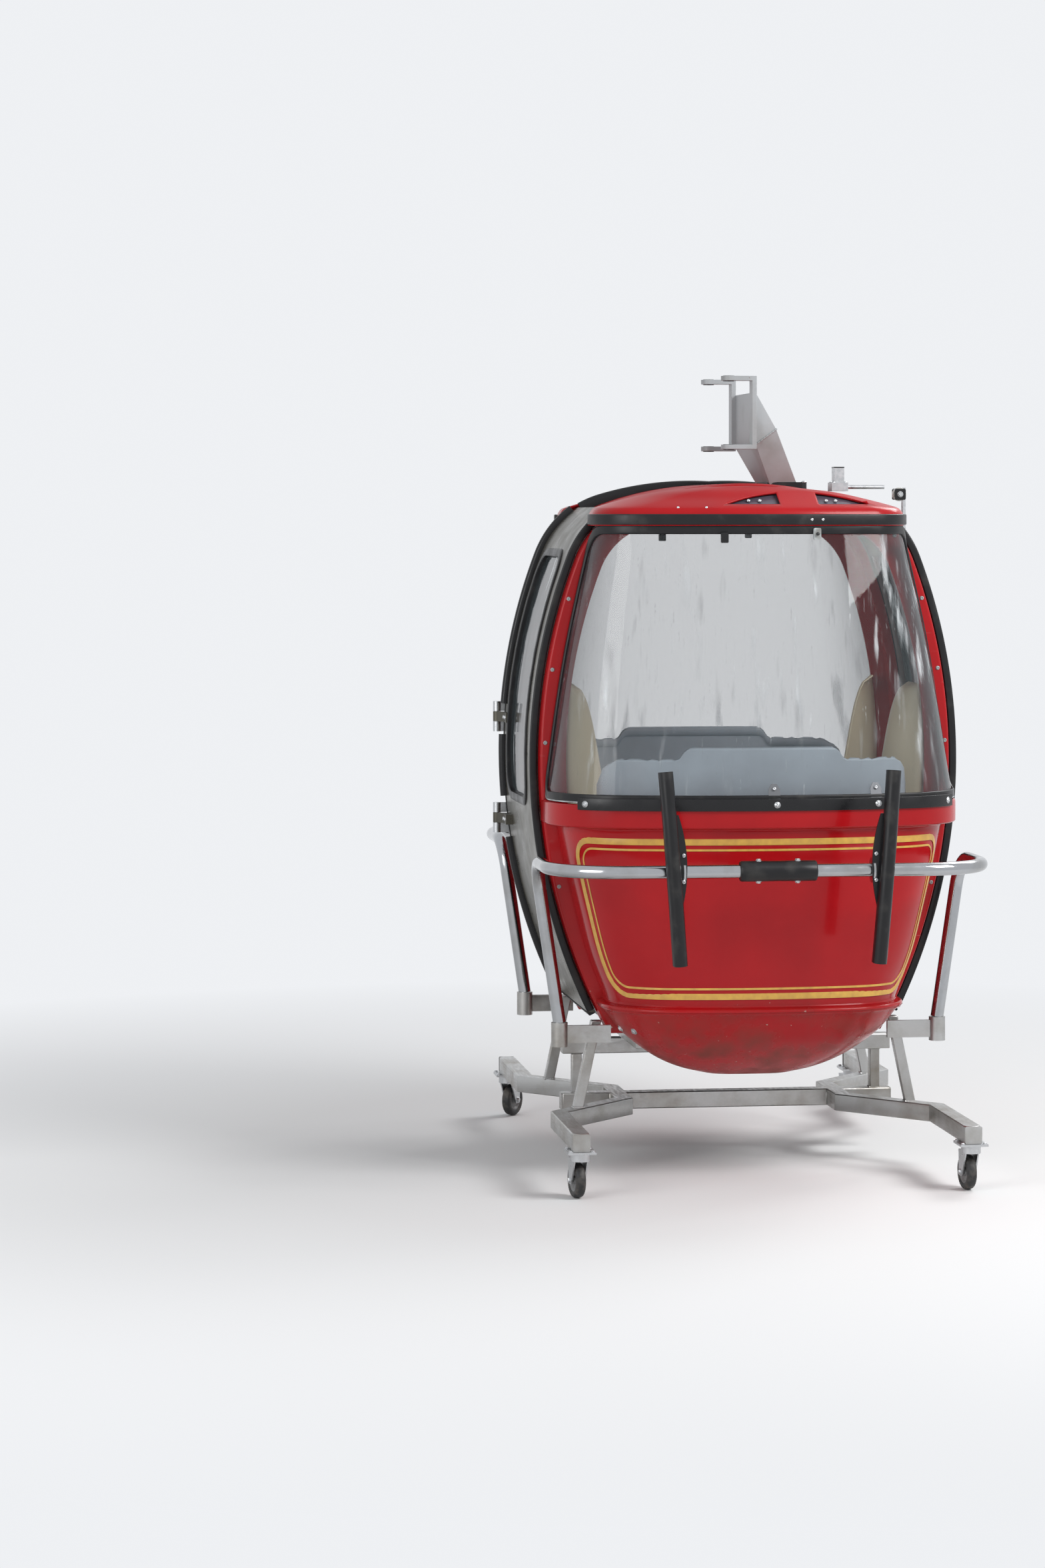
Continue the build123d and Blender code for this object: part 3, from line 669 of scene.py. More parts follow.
def arch_outline(grow=0.0):
    """Closed (y, z) outline: the right half, the same mirrored, then the sill."""
    *right, crest = half_arch(grow)
    return doubled(right, middle=crest)


def around_arch(profile):
    """Carries a closed profile of (x, growth) points round the door arch."""
    lines = [np.c_[np.full(len(outline), x), outline]
             for x, outline in ((x, arch_outline(grow)) for x, grow in profile)]
    grid = np.stack(lines, 1)
    return grid, grid_faces(*grid.shape[:2], close_rows=True, close_columns=True)


rim_profile = mm(
    (280, -4), (281.2, -1.2), (284, 0), (300, 0), (306, -2.2), (312, -3), (327, -3.2), (332, -4.5),
    (334.5, -7.5), (335, -12), (335, -78), (327, -78), (327, -30), (280, -30),
)
end_pair("door_rim", around_arch(rim_profile), red, sharp=40, replaces="shell")

# %% [markdown]
# ## Clear bent windows
#
# Each end window is a single sheet of clear plastic, bent warm over a mould and held by a rubber
# strip. It shows mostly by what it mirrors, and by pale upright streaks: years of fine scratches,
# with painted streaky reflections in them. Glass that bends light is slow to render and casts a
# solid shadow, so this sheet is see-through by its alpha instead, which rises where the sheet is
# seen edge-on and on the pale streaks.

# %% Clear sheet
smoky = (0.05, 0.065, 0.07)
clear = Finish("clear_sheet", "clear_sheet", smoky, 0.04, IOR=1.5, Specular_IOR_Level=0.9)
grazing = clear.node("ShaderNodeLayerWeight", Blend=0.28).outputs["Facing"]
streaks = clear.noise(26.0, 3.0, clear.stretched(1.0, 1.0, 0.05))
wide_streaks = clear.noise(7.0, 4.0, clear.stretched(1.0, 1.0, 0.10))
# Pale upright streaks: partly fine scratches, partly painted streaky reflections.
streak_and_reflection_mask = clear.both(clear.band(streaks, 0.56, 0.68), clear.band(wide_streaks, 0.46, 0.62))
hair = clear.band(clear.noise(120.0, 2.0, clear.stretched(1.0, 1.0, 0.04)), 0.68, 0.76)
haze = clear.maths("MAXIMUM", streak_and_reflection_mask, clear.both(hair, 0.5))
clear.set(Base_Color=clear.mix(haze, smoky, (0.80, 0.84, 0.86)))
alpha = clear.maths("ADD", clear.band(grazing, 0.0, 1.0, 0.10, 0.95), clear.both(haze, 0.30))
clear.set(Alpha=clear.maths("MINIMUM", alpha, 1.0))
clear.set(Roughness=clear.both(haze, 0.45))
clear.bump(wide_streaks, 0.08, 0.01)

window_low_z, window_high_z, window_edge_x = 1.0915, 1.8840, 0.337
table_low_z, table_high_z = window_table[0][0], window_table[-1][0]
sheet_wall = (0.004, -1.0, True)
sheet = end_surface(window_table, window_edge_x, 24)
stretch = (window_high_z - window_low_z) / (table_high_z - table_low_z)
sheet[..., 2] = window_low_z + (sheet[..., 2] - table_low_z) * stretch
end_pair("bent_window", as_surface(sheet), clear, wall=sheet_wall, replaces="window")
for side in ("left", "right"):
    nodes[f"door_{side}_window"].data.materials[0] = clear.material

# %% [markdown]
# ## Black rubber
#
# Rubber strips hold the windows, pad the bumper and seal the doors. Rubber is never quite black:
# it greys with dust, and its extruded skin has a faint grain along its length.

# %% Rubber
rubber = Finish("black_rubber", "black_rubber", (0.008, 0.008, 0.009), 0.42,
                Specular_IOR_Level=0.35)
dust = rubber.noise(14.0, 6.0)
rubber.two_tone(dust, 0.52, 0.75, (0.006, 0.006, 0.007), (0.030, 0.029, 0.027))
rubber.gloss(dust, 0.35, 0.7, 0.28, 0.52)
rubber.bump((160.0, 3.0), 0.08, 0.0005)

# A pale finish for the rim rivets and the window clip. On the window's filler strip, which is black
# rubber, its pale colour is a painted highlight.
pale_and_highlight = Finish("pale_fitting_and_highlight", "", (0.42, 0.46, 0.47), 0.5)
pale_and_highlight.two_tone((30.0, 5.0), 0.4, 0.65, (0.45, 0.49, 0.50), (0.20, 0.20, 0.19))
round_points, upright_points, level_points = 9, 38, 118


def end_loop(table, low_z, high_z, side_inset, low_round, high_round, lift=0.0):
    """Closed line with round corners on an end surface, with its normals.

    It is a rounded rectangle in two measures: the way round from the nose, and the height."""
    low_arc, high_arc = np.linspace(-pi / 2, 0, round_points), np.linspace(0, pi / 2, round_points)
    upright = np.linspace(low_z + low_round, high_z - high_round, upright_points + 2)[1:-1]
    height = np.concatenate([low_z + low_round + low_round * np.sin(low_arc), upright,
                             high_z - high_round + high_round * np.sin(high_arc)])
    shift = np.concatenate([low_round * (1 - np.cos(low_arc)), 0 * upright,
                            high_round * (1 - np.cos(high_arc))])
    outline = plan_points(*table_at(table, height), rim_x, fine_counts)
    reach = outline_length(outline)[:, -1] / 2 - side_inset - shift
    level = np.linspace(1, -1, level_points + 2)[1:-1]
    around = np.concatenate([reach, reach[-1] * level, -reach[::-1], -reach[0] * level])
    heights = np.concatenate([height, high_z + 0 * level, height[::-1], low_z + 0 * level])
    return on_end(table, around, heights, lift)


gasket_line = end_loop(window_table, 1.1060, 1.8740, 0.0180, 0.075, 0.080)
gasket_profile = slab(0.026, 0.0075, 0.004)
end_pair("window_gasket", carry(*gasket_line, gasket_profile, True), rubber)
# The filler strip is drawn pale: a painted highlight along the black rubber.
strip_line = end_loop(window_table, 1.0955, 1.8845, 0.0065, 0.086, 0.091)
strip_profile = slab(0.0045, 0.0060, 0.0015)
strip = carry(*strip_line, strip_profile, True)
end_pair("window_filler_strip", strip, pale_and_highlight, slot="black_rubber")

# %% [markdown]
# ## Screws and rivets
#
# Every fixing is turned on a lathe in real life, so here it is a short profile swung about an axis:
# a dome for a rivet, a low dome with a dimple for a cross-head screw, and a six-sided head on a
# round washer for a bolt. `planted` then sets copies of it on a surface.

# %% Fixings
def rivet(radius, height):
    """Flat-topped dome with a small hollow, as a pulled blind rivet has."""
    return turned([(0, 0.5 * height), (0.22 * radius, 0.5 * height), (0.30 * radius, 0.95 * height),
                   (0.55 * radius, height), (0.85 * radius, 0.75 * height), (radius, 0.1 * height),
                   (radius, -0.002), (0, -0.002)], 18)


def screw(radius, height, washer=0.0):
    """Pan-head screw with a dimpled top; a washer makes a thin plate under it."""
    base = [(radius, 0.0004), (radius, -0.002), (0, -0.002)]
    if washer:
        base = [(radius, 0.0012), (washer, 0.0012), (washer, -0.001), (0, -0.001)]
    return turned([(0, 0.35 * height), (0.2 * radius, 0.45 * height),
                   (0.38 * radius, 0.98 * height), (0.62 * radius, height),
                   (0.92 * radius, 0.7 * height), *base], 18)


def hex_bolt(across, height, washer):
    """Six-sided head with chamfered top corners on a round washer."""
    corner = across / sqrt(3)
    head = turned([(0, height), (0.82 * corner, height), (corner, height - 0.14 * across),
                   (corner, 0.0005), (0, 0.0005)], 6)
    plate = turned([(0, 0.0015), (washer - 0.0005, 0.0015), (washer, 0.001), (washer, -0.001),
                    (0, -0.001)])
    return merged([head, plate])


def four_spots(centre, dx, dy):
    """Four spots at the corners of a rectangle about a centre."""
    return [np.add(centre, (x, y, 0)) for x in (-dx, dx) for y in (-dy, dy)]


zinc = Finish("zinc_plate", "zinc_steel", (0.52, 0.53, 0.54), 0.32, Metallic=1.0)
zinc.gloss((90.0, 4.0), 0.35, 0.7, 0.26, 0.46)
dark_steel = Finish("dark_steel", "zinc_steel", (0.045, 0.045, 0.048), 0.38, Metallic=0.6)
print("fixings ready")

# %% [markdown]
# ## Gold stripes
#
# Two lines frame the recessed panel of each end: a broad one and a thin one inside it. They are
# cut from gold film, so each is a thin closed strip that follows the moulding.

# %% Stripes
gold = Finish("gold_film", "", (0.56, 0.36, 0.11), 0.38)
gold.two_tone((40.0, 6.0), 0.35, 0.7, (0.64, 0.38, 0.07), (0.50, 0.28, 0.06))
for name, low, high, inset, corner, width in (("broad_stripe", 0.541, 0.985, 0.165, 0.062, 0.018),
                                              ("thin_stripe", 0.563, 0.962, 0.190, 0.045, 0.006)):
    stripe_line = end_loop(lower_table, low, high, inset, corner, corner, 0.0005)
    end_pair(name, carry(*stripe_line, slab(width, 0.0007, 0.0003), True), gold)

# %% [markdown]
# ## The belt bar
#
# Under each bent window a flat black bar covers the joint between the window's rubber and the
# belt. It is screwed on through dished washers, and its ends lie over the rubber's round corners.

# %% Belt bar
black = Finish("black_satin", "black_rubber", (0.009, 0.009, 0.010), 0.28, Specular_IOR_Level=0.35)
black.gloss((20.0, 5.0), 0.35, 0.7, 0.20, 0.42)
bar_left, bar_right, bar_z, bar_height, belt_z = -0.555, 0.605, 1.092, 0.034, 1.07
line, normals = on_end(lower_table, np.linspace(bar_left, bar_right, 121), belt_z, 0.0015)
line[:, 2] = bar_z
bar = carry(line, normals, slab(bar_height, 0.0055, 0.001))
end_pair("belt_bar", bar, black, sharp=40)
spots, normals = on_end(lower_table, [-0.53, 0.02, 0.322, 0.575], belt_z, 0.0070)
spots[:, 2] = bar_z
end_pair("belt_bar_screws", planted(screw(0.0055, 0.0035, 0.0095), spots, normals), zinc)

# %% [markdown]
# ## The seal under the roof cap
#
# A wide rubber band closes the joint between the window and the cap. Two screws and a small clip
# on its right half hold the window's upper edge.

# %% Cap seal
seal_z, seal_reach = 1.9035, 0.62
seal_line = on_end(cap_table, np.linspace(-seal_reach, seal_reach, 121), seal_z, 0.001)
end_pair("cap_seal", carry(*seal_line, slab(0.031, 0.0055, 0.003)), rubber)
screw_spots = on_end(cap_table, [0.153, 0.186], seal_z, 0.0062)
end_pair("cap_seal_screws", planted(screw(0.0045, 0.003), *screw_spots), zinc)
clip_spot = on_end(window_table, [0.170], 1.862, 0.008)
clip = prism(rounded_box(0.022, 0.034, 0.004), -0.004, 0.004)
clip_pin = turned([(0, 0.013), (0.0035, 0.013), (0.0045, 0.011), (0.0045, 0.0), (0, 0.0)], 16)
end_pair("window_clip", planted(clip, *clip_spot), pale_and_highlight, sharp=30)
end_pair("window_clip_pin", planted(clip_pin, *clip_spot), dark_steel)

# %% [markdown]
# ## Panes and screws in the roof vents
#
# Panes lie just inside each crescent slot, dim with painted shade for the dark inside of the slot.
# They are the vent's flap, seen through the slot, and four pale screw heads hold it to the cap.

# %% Vent flap
# Painted shade: the flap's dim purple-grey stands for the darkness inside the vent slot.
flap = Finish("vent_flap", "", (0.085, 0.075, 0.10), 0.28)
flap_wall = (0.003, 1.0, True)
flap_wider, flap_foot, flap_taller, flap_low_z = 0.012, 0.014, 0.020, 1.93
flap_behind, flap_sunk, screw_behind = 0.016, 0.004, 0.015
y = np.linspace(vent_low_y - flap_wider, vent_high_y + flap_wider, 60)
share = np.linspace(0, 1, 6)[:, None]
height = vent_low_z - flap_foot + (vent_top(y) - vent_low_z + flap_taller) * share
section = table_at(cap_table, np.clip(height, flap_low_z, vent_crown_z))
flap_x = nose_x(*section, y) - flap_behind
flap_grid = np.stack([flap_x, y + 0 * height, height - flap_sunk], -1)
end_pair("vent_flap", as_surface(flap_grid), flap, wall=flap_wall)
screw_y, screw_z = np.array([-0.021, 0.012, 0.211, 0.240]), np.full(4, 1.957)
screw_x = nose_x(*table_at(cap_table, screw_z), screw_y) - screw_behind
vent_screws = planted(screw(0.0055, 0.004), np.c_[screw_x, screw_y, screw_z], (0.6, 0.0, 0.8))
end_pair("vent_screws", vent_screws, zinc)

# %% [markdown]
# ## Rivets of the rims
#
# Blind rivets pin the flange to the shell. They sit on the rim's front face at almost even heights
# on both sides of the door opening.

# %% Rim rivets
heights = np.array([0.834, 1.042, 1.253, 1.466, 1.672, 1.857])


def arch_y(grow, height):
    """Half width of the arch at some heights, below the roof's middle."""
    line = half_arch(grow)[:-1]
    line = line[np.argsort(line[:, 1])]
    return np.interp(height, line[:, 1], line[:, 0])


rivet_y = arch_y(-0.0165, heights)
spots = np.concatenate([np.c_[np.full(6, rim_x), side * rivet_y, heights] for side in (-1, 1)])
end_pair("rim_rivets", planted(rivet(0.0062, 0.003), spots, (1, 0, 0)), pale_and_highlight, slot="zinc_steel")

# %% [markdown]
# ## Metals and paints
#
# Polished tube, brushed stainless, zinc plate and grey paint differ in how sharply they mirror and
# in what covers them. Tube, stainless and zinc each get their own roughness pattern, because the
# eye reads that first, and the grey paint gets a fine bump.

# %% Metals
polished = Finish("polished_tube", "bumper_steel", (0.46, 0.47, 0.485), 0.16, Metallic=1.0)
polished.gloss((20.0, 5.0), 0.40, 0.72, 0.10, 0.24)
polished.two_tone((9.0, 5.0), 0.45, 0.75, (0.42, 0.43, 0.445), (0.33, 0.33, 0.325))
brushed = Finish("brushed_stainless", "trolley_steel", (0.42, 0.42, 0.415), 0.36, Metallic=1.0)
grain = brushed.noise(240.0, 2.0, brushed.stretched(0.08, 0.5, 1.0))
brushed.gloss(grain, 0.3, 0.7, 0.28, 0.48)
brushed.two_tone((7.0, 7.0), 0.42, 0.72, (0.46, 0.46, 0.455), (0.27, 0.25, 0.22))
brushed.bump(grain, 0.06, 0.0004)
grey_paint = Finish("hanger_paint", "hanger_grey", (0.33, 0.35, 0.36), 0.45)
dirt = grey_paint.band(grey_paint.noise(7.0, 8.0), 0.46, 0.78)
paint = grey_paint.mix(dirt, (0.35, 0.37, 0.38), (0.25, 0.25, 0.24))
rust = grey_paint.band(grey_paint.noise(60.0, 5.0), 0.74, 0.77)
grey_paint.set(Base_Color=grey_paint.mix(rust, paint, (0.13, 0.055, 0.03)))
grey_paint.bump((90.0, 3.0), 0.08, 0.0006)
# Painted reflection: the door leaves' olive-bronze tone, with its darker patches, stands for green
# surroundings mirrored in a glossy leaf seen edge-on.
door_skin_reflection = Finish("door_skin_reflection", "", (0.09, 0.085, 0.068), 0.34, Metallic=0.6)
door_skin_reflection.gloss((12.0, 6.0), 0.38, 0.7, 0.26, 0.42)
olive_reflection, dark_olive_reflection = (0.105, 0.098, 0.078), (0.062, 0.058, 0.046)
door_skin_reflection.two_tone((5.0, 6.0), 0.4, 0.7, olive_reflection, dark_olive_reflection)
tread = Finish("floor_plate", "", (0.10, 0.10, 0.105), 0.45, Metallic=0.4)
cells = tread.node("ShaderNodeTexVoronoi", Vector=tread.place, Scale=70.0)
tread.bump(cells.outputs["Distance"], 0.5, 0.002)
finish_of = {
    "roof_centre": red, "door_left_leaf": door_skin_reflection, "door_right_leaf": door_skin_reflection,
    "door_hinges": zinc, "door_gear": zinc, "door_right_pull": zinc, "floor_pan": tread,
    "underframe": brushed, "front_bumper": polished, "rear_bumper": polished,
    "bumper_brackets": brushed, "hanger_foot": rubber, "hanger_arm": grey_paint,
    "hanger_yoke": grey_paint, "trolley_frame": brushed, "trolley_posts": brushed,
    "castor_plates": zinc,
}
for node, finish in finish_of.items():
    nodes[node].data.materials[0] = finish.material
print("dressed", len(finish_of), "CAD pieces")

# %% [markdown]
# ## Guard bars
#
# Two rubber bars stand on each bumper and keep the cabin off the station's rails. They are one
# D-shaped extrusion, flat at the back, bowed a little forwards, with a lens-shaped plate beside
# each bar that is bolted to a clamp on the tube.

# %% Guard bars
tube_x, tube_z, tube_radius = 0.820, 0.915, 0.0195
guard_x, guard_bow, guard_depth, guard_radius = 0.838, 0.010, 0.036, 0.020
guard_y, guard_z, guard_lean, guard_half = 0.305, 0.9265, 0.021, 0.2715
plate_half, plate_inset, plate_bulge, plate_edge = 0.150, 0.016, 0.025, 0.002
plate_back_x, plate_front_x = guard_x + 0.005, guard_x + 0.011
bolt_x, bolt_inset, bolt_rise, clamp_inset, flange_inset = 0.850, 0.030, 0.037, 0.020, 0.034
*round_front, tip = arc(guard_radius, 0, pi / 2, 8, (0, -0.002))
d_profile = doubled([(0.0185, -0.018), (guard_radius, -0.0165), *round_front], middle=tip)
share, lens = np.linspace(-1, 1, 41), np.linspace(-1, 1, 25)
clamp_edge = doubled([(tube_radius, 0.014), (0.0235, 0.013), (0.0245, 0.010)], upside_down)
flange_edge = doubled([(tube_radius, 0.003), (0.036, 0.003)], upside_down)
bars, plates, bolts, clamps = [], [], [], []
for side in (-1, 1):
    bow = guard_x + guard_depth / 2 + guard_bow * (1 - share**2)
    path = np.c_[bow, side * (guard_y + guard_lean * share), guard_z + guard_half * share]
    bars.append(carry(path, (1, 0, 0), d_profile))
    outer_y = side * (guard_y - plate_inset - plate_bulge * (1 - lens**2))
    inner_y = side * (guard_y - plate_edge) + 0 * lens
    plate_z = guard_z + plate_half * lens
    outline = np.concatenate([np.c_[outer_y, plate_z], np.c_[inner_y, plate_z][::-1]])
    plate, faces = prism(outline, plate_back_x, plate_front_x)
    plates.append((plate[:, [2, 0, 1]], faces))  # the prism's height runs along x
    spots = [(bolt_x, side * (guard_y - bolt_inset), guard_z + z) for z in (-bolt_rise, bolt_rise)]
    bolts.append(planted(screw(0.0062, 0.005), spots, (1, 0, 0)))
    for edge, inset in ((clamp_edge, clamp_inset), (flange_edge, flange_inset)):
        spot = (tube_x, side * (guard_y - inset), tube_z)
        clamps.append(planted(ring(edge, 28), spot, (0, 1, 0)))
end_pair("guard_rubber", merged(bars), rubber, 40, replaces="guard_bars")
end_pair("guard_plates", merged(plates), black, 40)
end_pair("guard_bolts", merged(bolts), zinc, 40)
end_pair("guard_clamps", merged(clamps), polished, 40)

# %% [markdown]
# ## Bumper pads
#
# The pad in the middle of each bumper is a thick rubber sleeve with rounded ends, held by two
# through bolts whose heads stand above it and whose nuts show below.

# %% Bumper pads
pad_end = [(tube_radius, 0.110), (0.024, 0.110), (0.0275, 0.1085), (0.029, 0.105), (0.0293, 0.06)]
pad_waist, pad_bolt_y = 0.0285, 0.056
pad_edge = doubled(pad_end, upside_down, (pad_waist, 0.0))
pad = planted(ring(pad_edge, 40), (tube_x, 0, tube_z), (0, 1, 0))
end_pair("pad_sleeve", pad, rubber, replaces="bumper_pad")
heads = []
for side in (-1, 1):
    spots = [(tube_x, y, tube_z + side * pad_waist) for y in (-pad_bolt_y, pad_bolt_y)]
    heads.append(planted(hex_bolt(0.013, 0.006, 0.009), spots, (0, 0, side)))
end_pair("pad_bolts", merged(heads), zinc, sharp=30)

# %% [markdown]
# ## Benches
#
# Each bench is one moulding in pale blue-grey plastic: a skirt, a seat with a rounded front edge
# and a back that wraps round at its ends, with a raised middle. One profile, run across the cabin
# and held inside the shell, gives the whole piece. The back's upper edge is a height that changes
# with y: low wings, a raised middle and round corners.

# %% Benches
bench_finish = Finish("bench_plastic", "bench_plastic", (0.50, 0.57, 0.64), 0.40)
pale_blue, grey_blue = (0.52, 0.60, 0.67), (0.44, 0.50, 0.56)
bench_finish.two_tone((6.0, 5.0), 0.4, 0.7, pale_blue, grey_blue)
bench_room = mm(  # height, half width, nose and corner
    (440, 350, 570, 150), (780, 460, 610, 200), (1260, 460, 600, 200),
)
bench_profile = mm(  # x and z of the skirt and the seat
    (262, 453), (238, 610), (216, 755), (213, 772), (217, 785), (229, 791), (248, 792), (330, 787),
    (420, 780), (490, 775), (520, 776), (541, 786), (552, 806),
)
lip_profile = mm((4, 4.5), (10, 6.5), (16, 5), (20, -1), (21, -18))
wing_z, middle_rise, middle_half, corner_fall, corner_start = 1.207, 0.033, 0.245, 0.075, 0.86
back_half, step_width, bench_fit, bench_gap = 0.45, 0.030, 0.985, 0.008
back_x, back_z = bench_profile[-1]
back_slope = 0.062 / 0.437
moulding_wall = (0.004, 1.0, False)
across = np.linspace(-1, 1, 81)
step = np.clip((middle_half - np.abs(across * back_half)) / step_width, 0, 1)
turn_down = np.clip((np.abs(across) - corner_start) / (1 - corner_start), 0, 1)
top_z = wing_z + middle_rise * (3 * step**2 - 2 * step**3)
top_z -= corner_fall * (1 - np.sqrt(1 - turn_down**2))
rows = [np.broadcast_to((x, z), (81, 2)) for x, z in bench_profile]
for share in np.linspace(0.08, 1, 18):
    rise = (top_z - back_z) * share
    rows.append(np.c_[back_x + back_slope * rise, back_z + rise])
lip_x = rows[-1][:, 0]
rows += [np.c_[lip_x + dx, top_z + dz] for dx, dz in lip_profile]
bench_grid = np.stack(rows)
room = [np.interp(bench_grid[..., 1], bench_room[:, 0], column) for column in bench_room.T[1:]]
y = across * room[0] * bench_fit
bench_x = np.minimum(bench_grid[..., 0], nose_x(*room, y) - bench_gap)
bench = np.stack([bench_x, y, bench_grid[..., 1]], -1)
end_pair("bench_moulding", as_surface(bench, False), bench_finish, wall=moulding_wall,
         replaces="bench")

# %% [markdown]
# ## Cream lining beside the doors
#
# Through the window a cream moulding shows beside each door, wide near the seat and narrowing as it
# rises. It covers the raw inside of the rim.

# %% Side lining
cream = Finish("cream_lining", "", (0.76, 0.68, 0.50), 0.42)
lining_low_z, lining_high_z, lining_width, lining_lap = 0.47, 1.42, 0.135, 0.012
lining_section = [  # share of the width, x
    (0.0, 0.324), (0.25, 0.318), (0.5, 0.308), (0.75, 0.292), (0.9, 0.276), (1.0, 0.262),
    (1.0, 0.245),
]
heights = np.linspace(lining_low_z, lining_high_z, 49)
rise = (heights - lining_low_z) / (lining_high_z - lining_low_z)
width = lining_lap + lining_width * np.sqrt(np.clip(1 - rise**2.6, 0, 1))
outer_y = arch_y(-0.076, heights)
linings = []
for side in (-1, 1):
    columns = [np.c_[np.full(49, x), side * (outer_y - width * share), heights]
               for share, x in lining_section]
    linings.append(as_surface(np.stack(columns, 1), side > 0))
end_pair("side_lining", merged(linings), cream, wall=moulding_wall)

# %% [markdown]
# ## Rounded steel sections
#
# Square tube has rounded corners, and folded plate has soft edges. The CAD keeps those edges sharp.
# A copy of each such piece takes a small bevel here, so that its edges catch the light.

# %% Rounded sections
flat_deg, smooth_deg, bevel_deg = 1.0, 30, 40
edge_widths = {"trolley_frame": 0.003, "trolley_posts": 0.0025, "underframe": 0.003,
               "hanger_arm": 0.0025, "hanger_yoke": 0.002, "bumper_brackets": 0.0015}
for node, width in edge_widths.items():
    mesh = nodes[node].data.copy()
    mesh.materials.clear()
    clean(mesh, seam, flat_deg=flat_deg)
    copy = show(node + "_rounded", mesh, finish_of[node], sharp=smooth_deg)
    edge = copy.modifiers.new("edge", "BEVEL")
    edge.width, edge.segments = width, 2
    edge.limit_method, edge.angle_limit = "ANGLE", radians(bevel_deg)
    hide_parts(node)
print("rounded sections")

# %% [markdown]
# ## Doors
#
# Each door is one curved leaf that follows the arch. Its window sits in a rubber frame, a rubber
# strip caps each edge of the leaf, and a tall black seal stands along the hinge side. The seal
# stops on both sides of each hinge, and goes on across the roof, where it is fixed to the cabin.

# %% Doors
leaf_outer, leaf_middle, leaf_inner, leaf_edge_x = 0.023, 0.014, 0.005, 0.300
pane_z, foot_z, foot_half = 1.4375, 0.4625, 0.296
hinge_zs, hinge_screw_xs, knuckle_rise, seal_x = (0.990, 1.300), (-0.262, -0.228), 0.006, -0.286
seal_runs = ((0.470, 0.951), (1.029, 1.261), (1.339, 2.100))
foot_normal = np.array([0, -0.447, -0.894])
roof_seal_x, roof_seal_half, roof_seal_sunk, roof_seal_lift = -0.290, 0.400, 0.022, 0.055


def side_normals(y, z):
    """Normals of the bulging side at (y, z): they point away from the centre of its arc."""
    return unit(np.stack([0 * y, y - side_centre_y, z - arch_widest_z], -1))


def on_door(x, z, side, grow):
    """Points and normals of a door's curved side, grown outwards from the arch."""
    x, z = np.broadcast_arrays(np.asarray(x, float), np.asarray(z, float))
    y = side_centre_y + np.sqrt((arch_side_radius + grow) ** 2 - (z - arch_widest_z) ** 2)
    return np.stack([x, side * y, z], -1), side_normals(y, z) * (1, side, 1)


def at_x(x, side, y, z):
    """Points at one x: the line (y, z), mirrored for the left side."""
    return np.stack([x + 0 * y, side * y, z], -1)


def bulb(half_width, height):
    """Section of a sponge seal: a low box whose top is a half ellipse."""
    *top, crest = (half_width, height / 2) * arc(1, 0, pi / 2, 5) + (0, height / 2)
    return doubled([(half_width, -0.001), *top], middle=crest)


def frame_profile(low, shoulder, high):
    """Section of a window frame: a flat strip with chamfered upper edges."""
    return doubled([(0.012, low), (0.012, shoulder), (0.009, high)])


def arch_part(grow, low_z, low_y):
    """The right half of the arch above a height and outside a distance from the middle."""
    line = half_arch(grow)[:-1]
    return line[(line[:, 1] > low_z) & (line[:, 0] > low_y)]


corners = rounded_box(0.420, 0.735, 0.075, 10)
pane_line = np.concatenate([np.linspace(a, b, 8, endpoint=False)
                            for a, b in zip(corners, np.roll(corners, -1, 0))])
frames = ((leaf_outer, 1, frame_profile(-0.0095, 0.003, 0.0055)),
          (leaf_inner, -1, frame_profile(-0.005, 0.0015, 0.003)))
edge_line = arch_part(leaf_middle, 0.468, 0.415)
cover_line = arch_part(leaf_outer, 0.470, 0.420)
edge_strip, foot_strip = slab(0.0225, 0.008, 0.004), slab(0.021, 0.008, 0.004)

for side, name in ((-1, "door_left"), (1, "door_right")):
    rubbers, seals = [], []
    for grow, facing, profile in frames:
        path, normals = on_door(pane_line[:, 0], pane_z + pane_line[:, 1], side, grow)
        rubbers.append(carry(path, facing * normals, profile, True))
    for end in (-1, 1):
        rubbers.append(carry(at_x(end * leaf_edge_x, side, *edge_line.T), (end, 0, 0), edge_strip))
    foot, _ = on_door(np.linspace(-foot_half, foot_half, 9), foot_z, side, leaf_middle)
    rubbers.append(carry(foot, foot_normal * (1, side, 1), foot_strip))
    make_piece(name + "_rubbers", merged(rubbers), rubber, name, 45)
    for low, high in seal_runs:
        y, z = cover_line[(cover_line[:, 1] > low) & (cover_line[:, 1] < high)].T
        path = at_x(seal_x, side, y, z)
        seals.append(carry(path, side_normals(y, z) * (1, side, 1), bulb(0.011, 0.019)))
    make_piece(name + "_hinge_seal", merged(seals), black, name, 40)
    hinge_y = side * (arch_half + leaf_outer + knuckle_rise)
    spots = [(x, hinge_y, z) for x in hinge_screw_xs for z in hinge_zs]
    screws = planted(screw(0.006, 0.0035), spots, (0, side, 0))
    make_piece(name + "_hinge_screws", screws, zinc, name)

roof_line = arch_outline()
above_doors = roof_line[:, 1] > pane_z
y, z = roof_line[(np.abs(roof_line[:, 0]) < roof_seal_half) & above_doors].T
normals = unit(np.stack([0 * y, y, z - roof_centre_z], -1))
sunk = roof_seal_sunk - roof_seal_lift * np.abs(y)
path = at_x(roof_seal_x, 1, y, z) - sunk[:, None] * normals
make_piece("roof_seal", carry(path, normals, bulb(0.011, 0.034)), black, sharp=40)

# %% [markdown]
# ## Tabs, clips and small bolts
#
# Two bent tabs stand on the belt bar and hold the window's foot. A black catch hangs at the
# window's head, and small rivets dot the cap. Two bolts go through the belly low on the left.

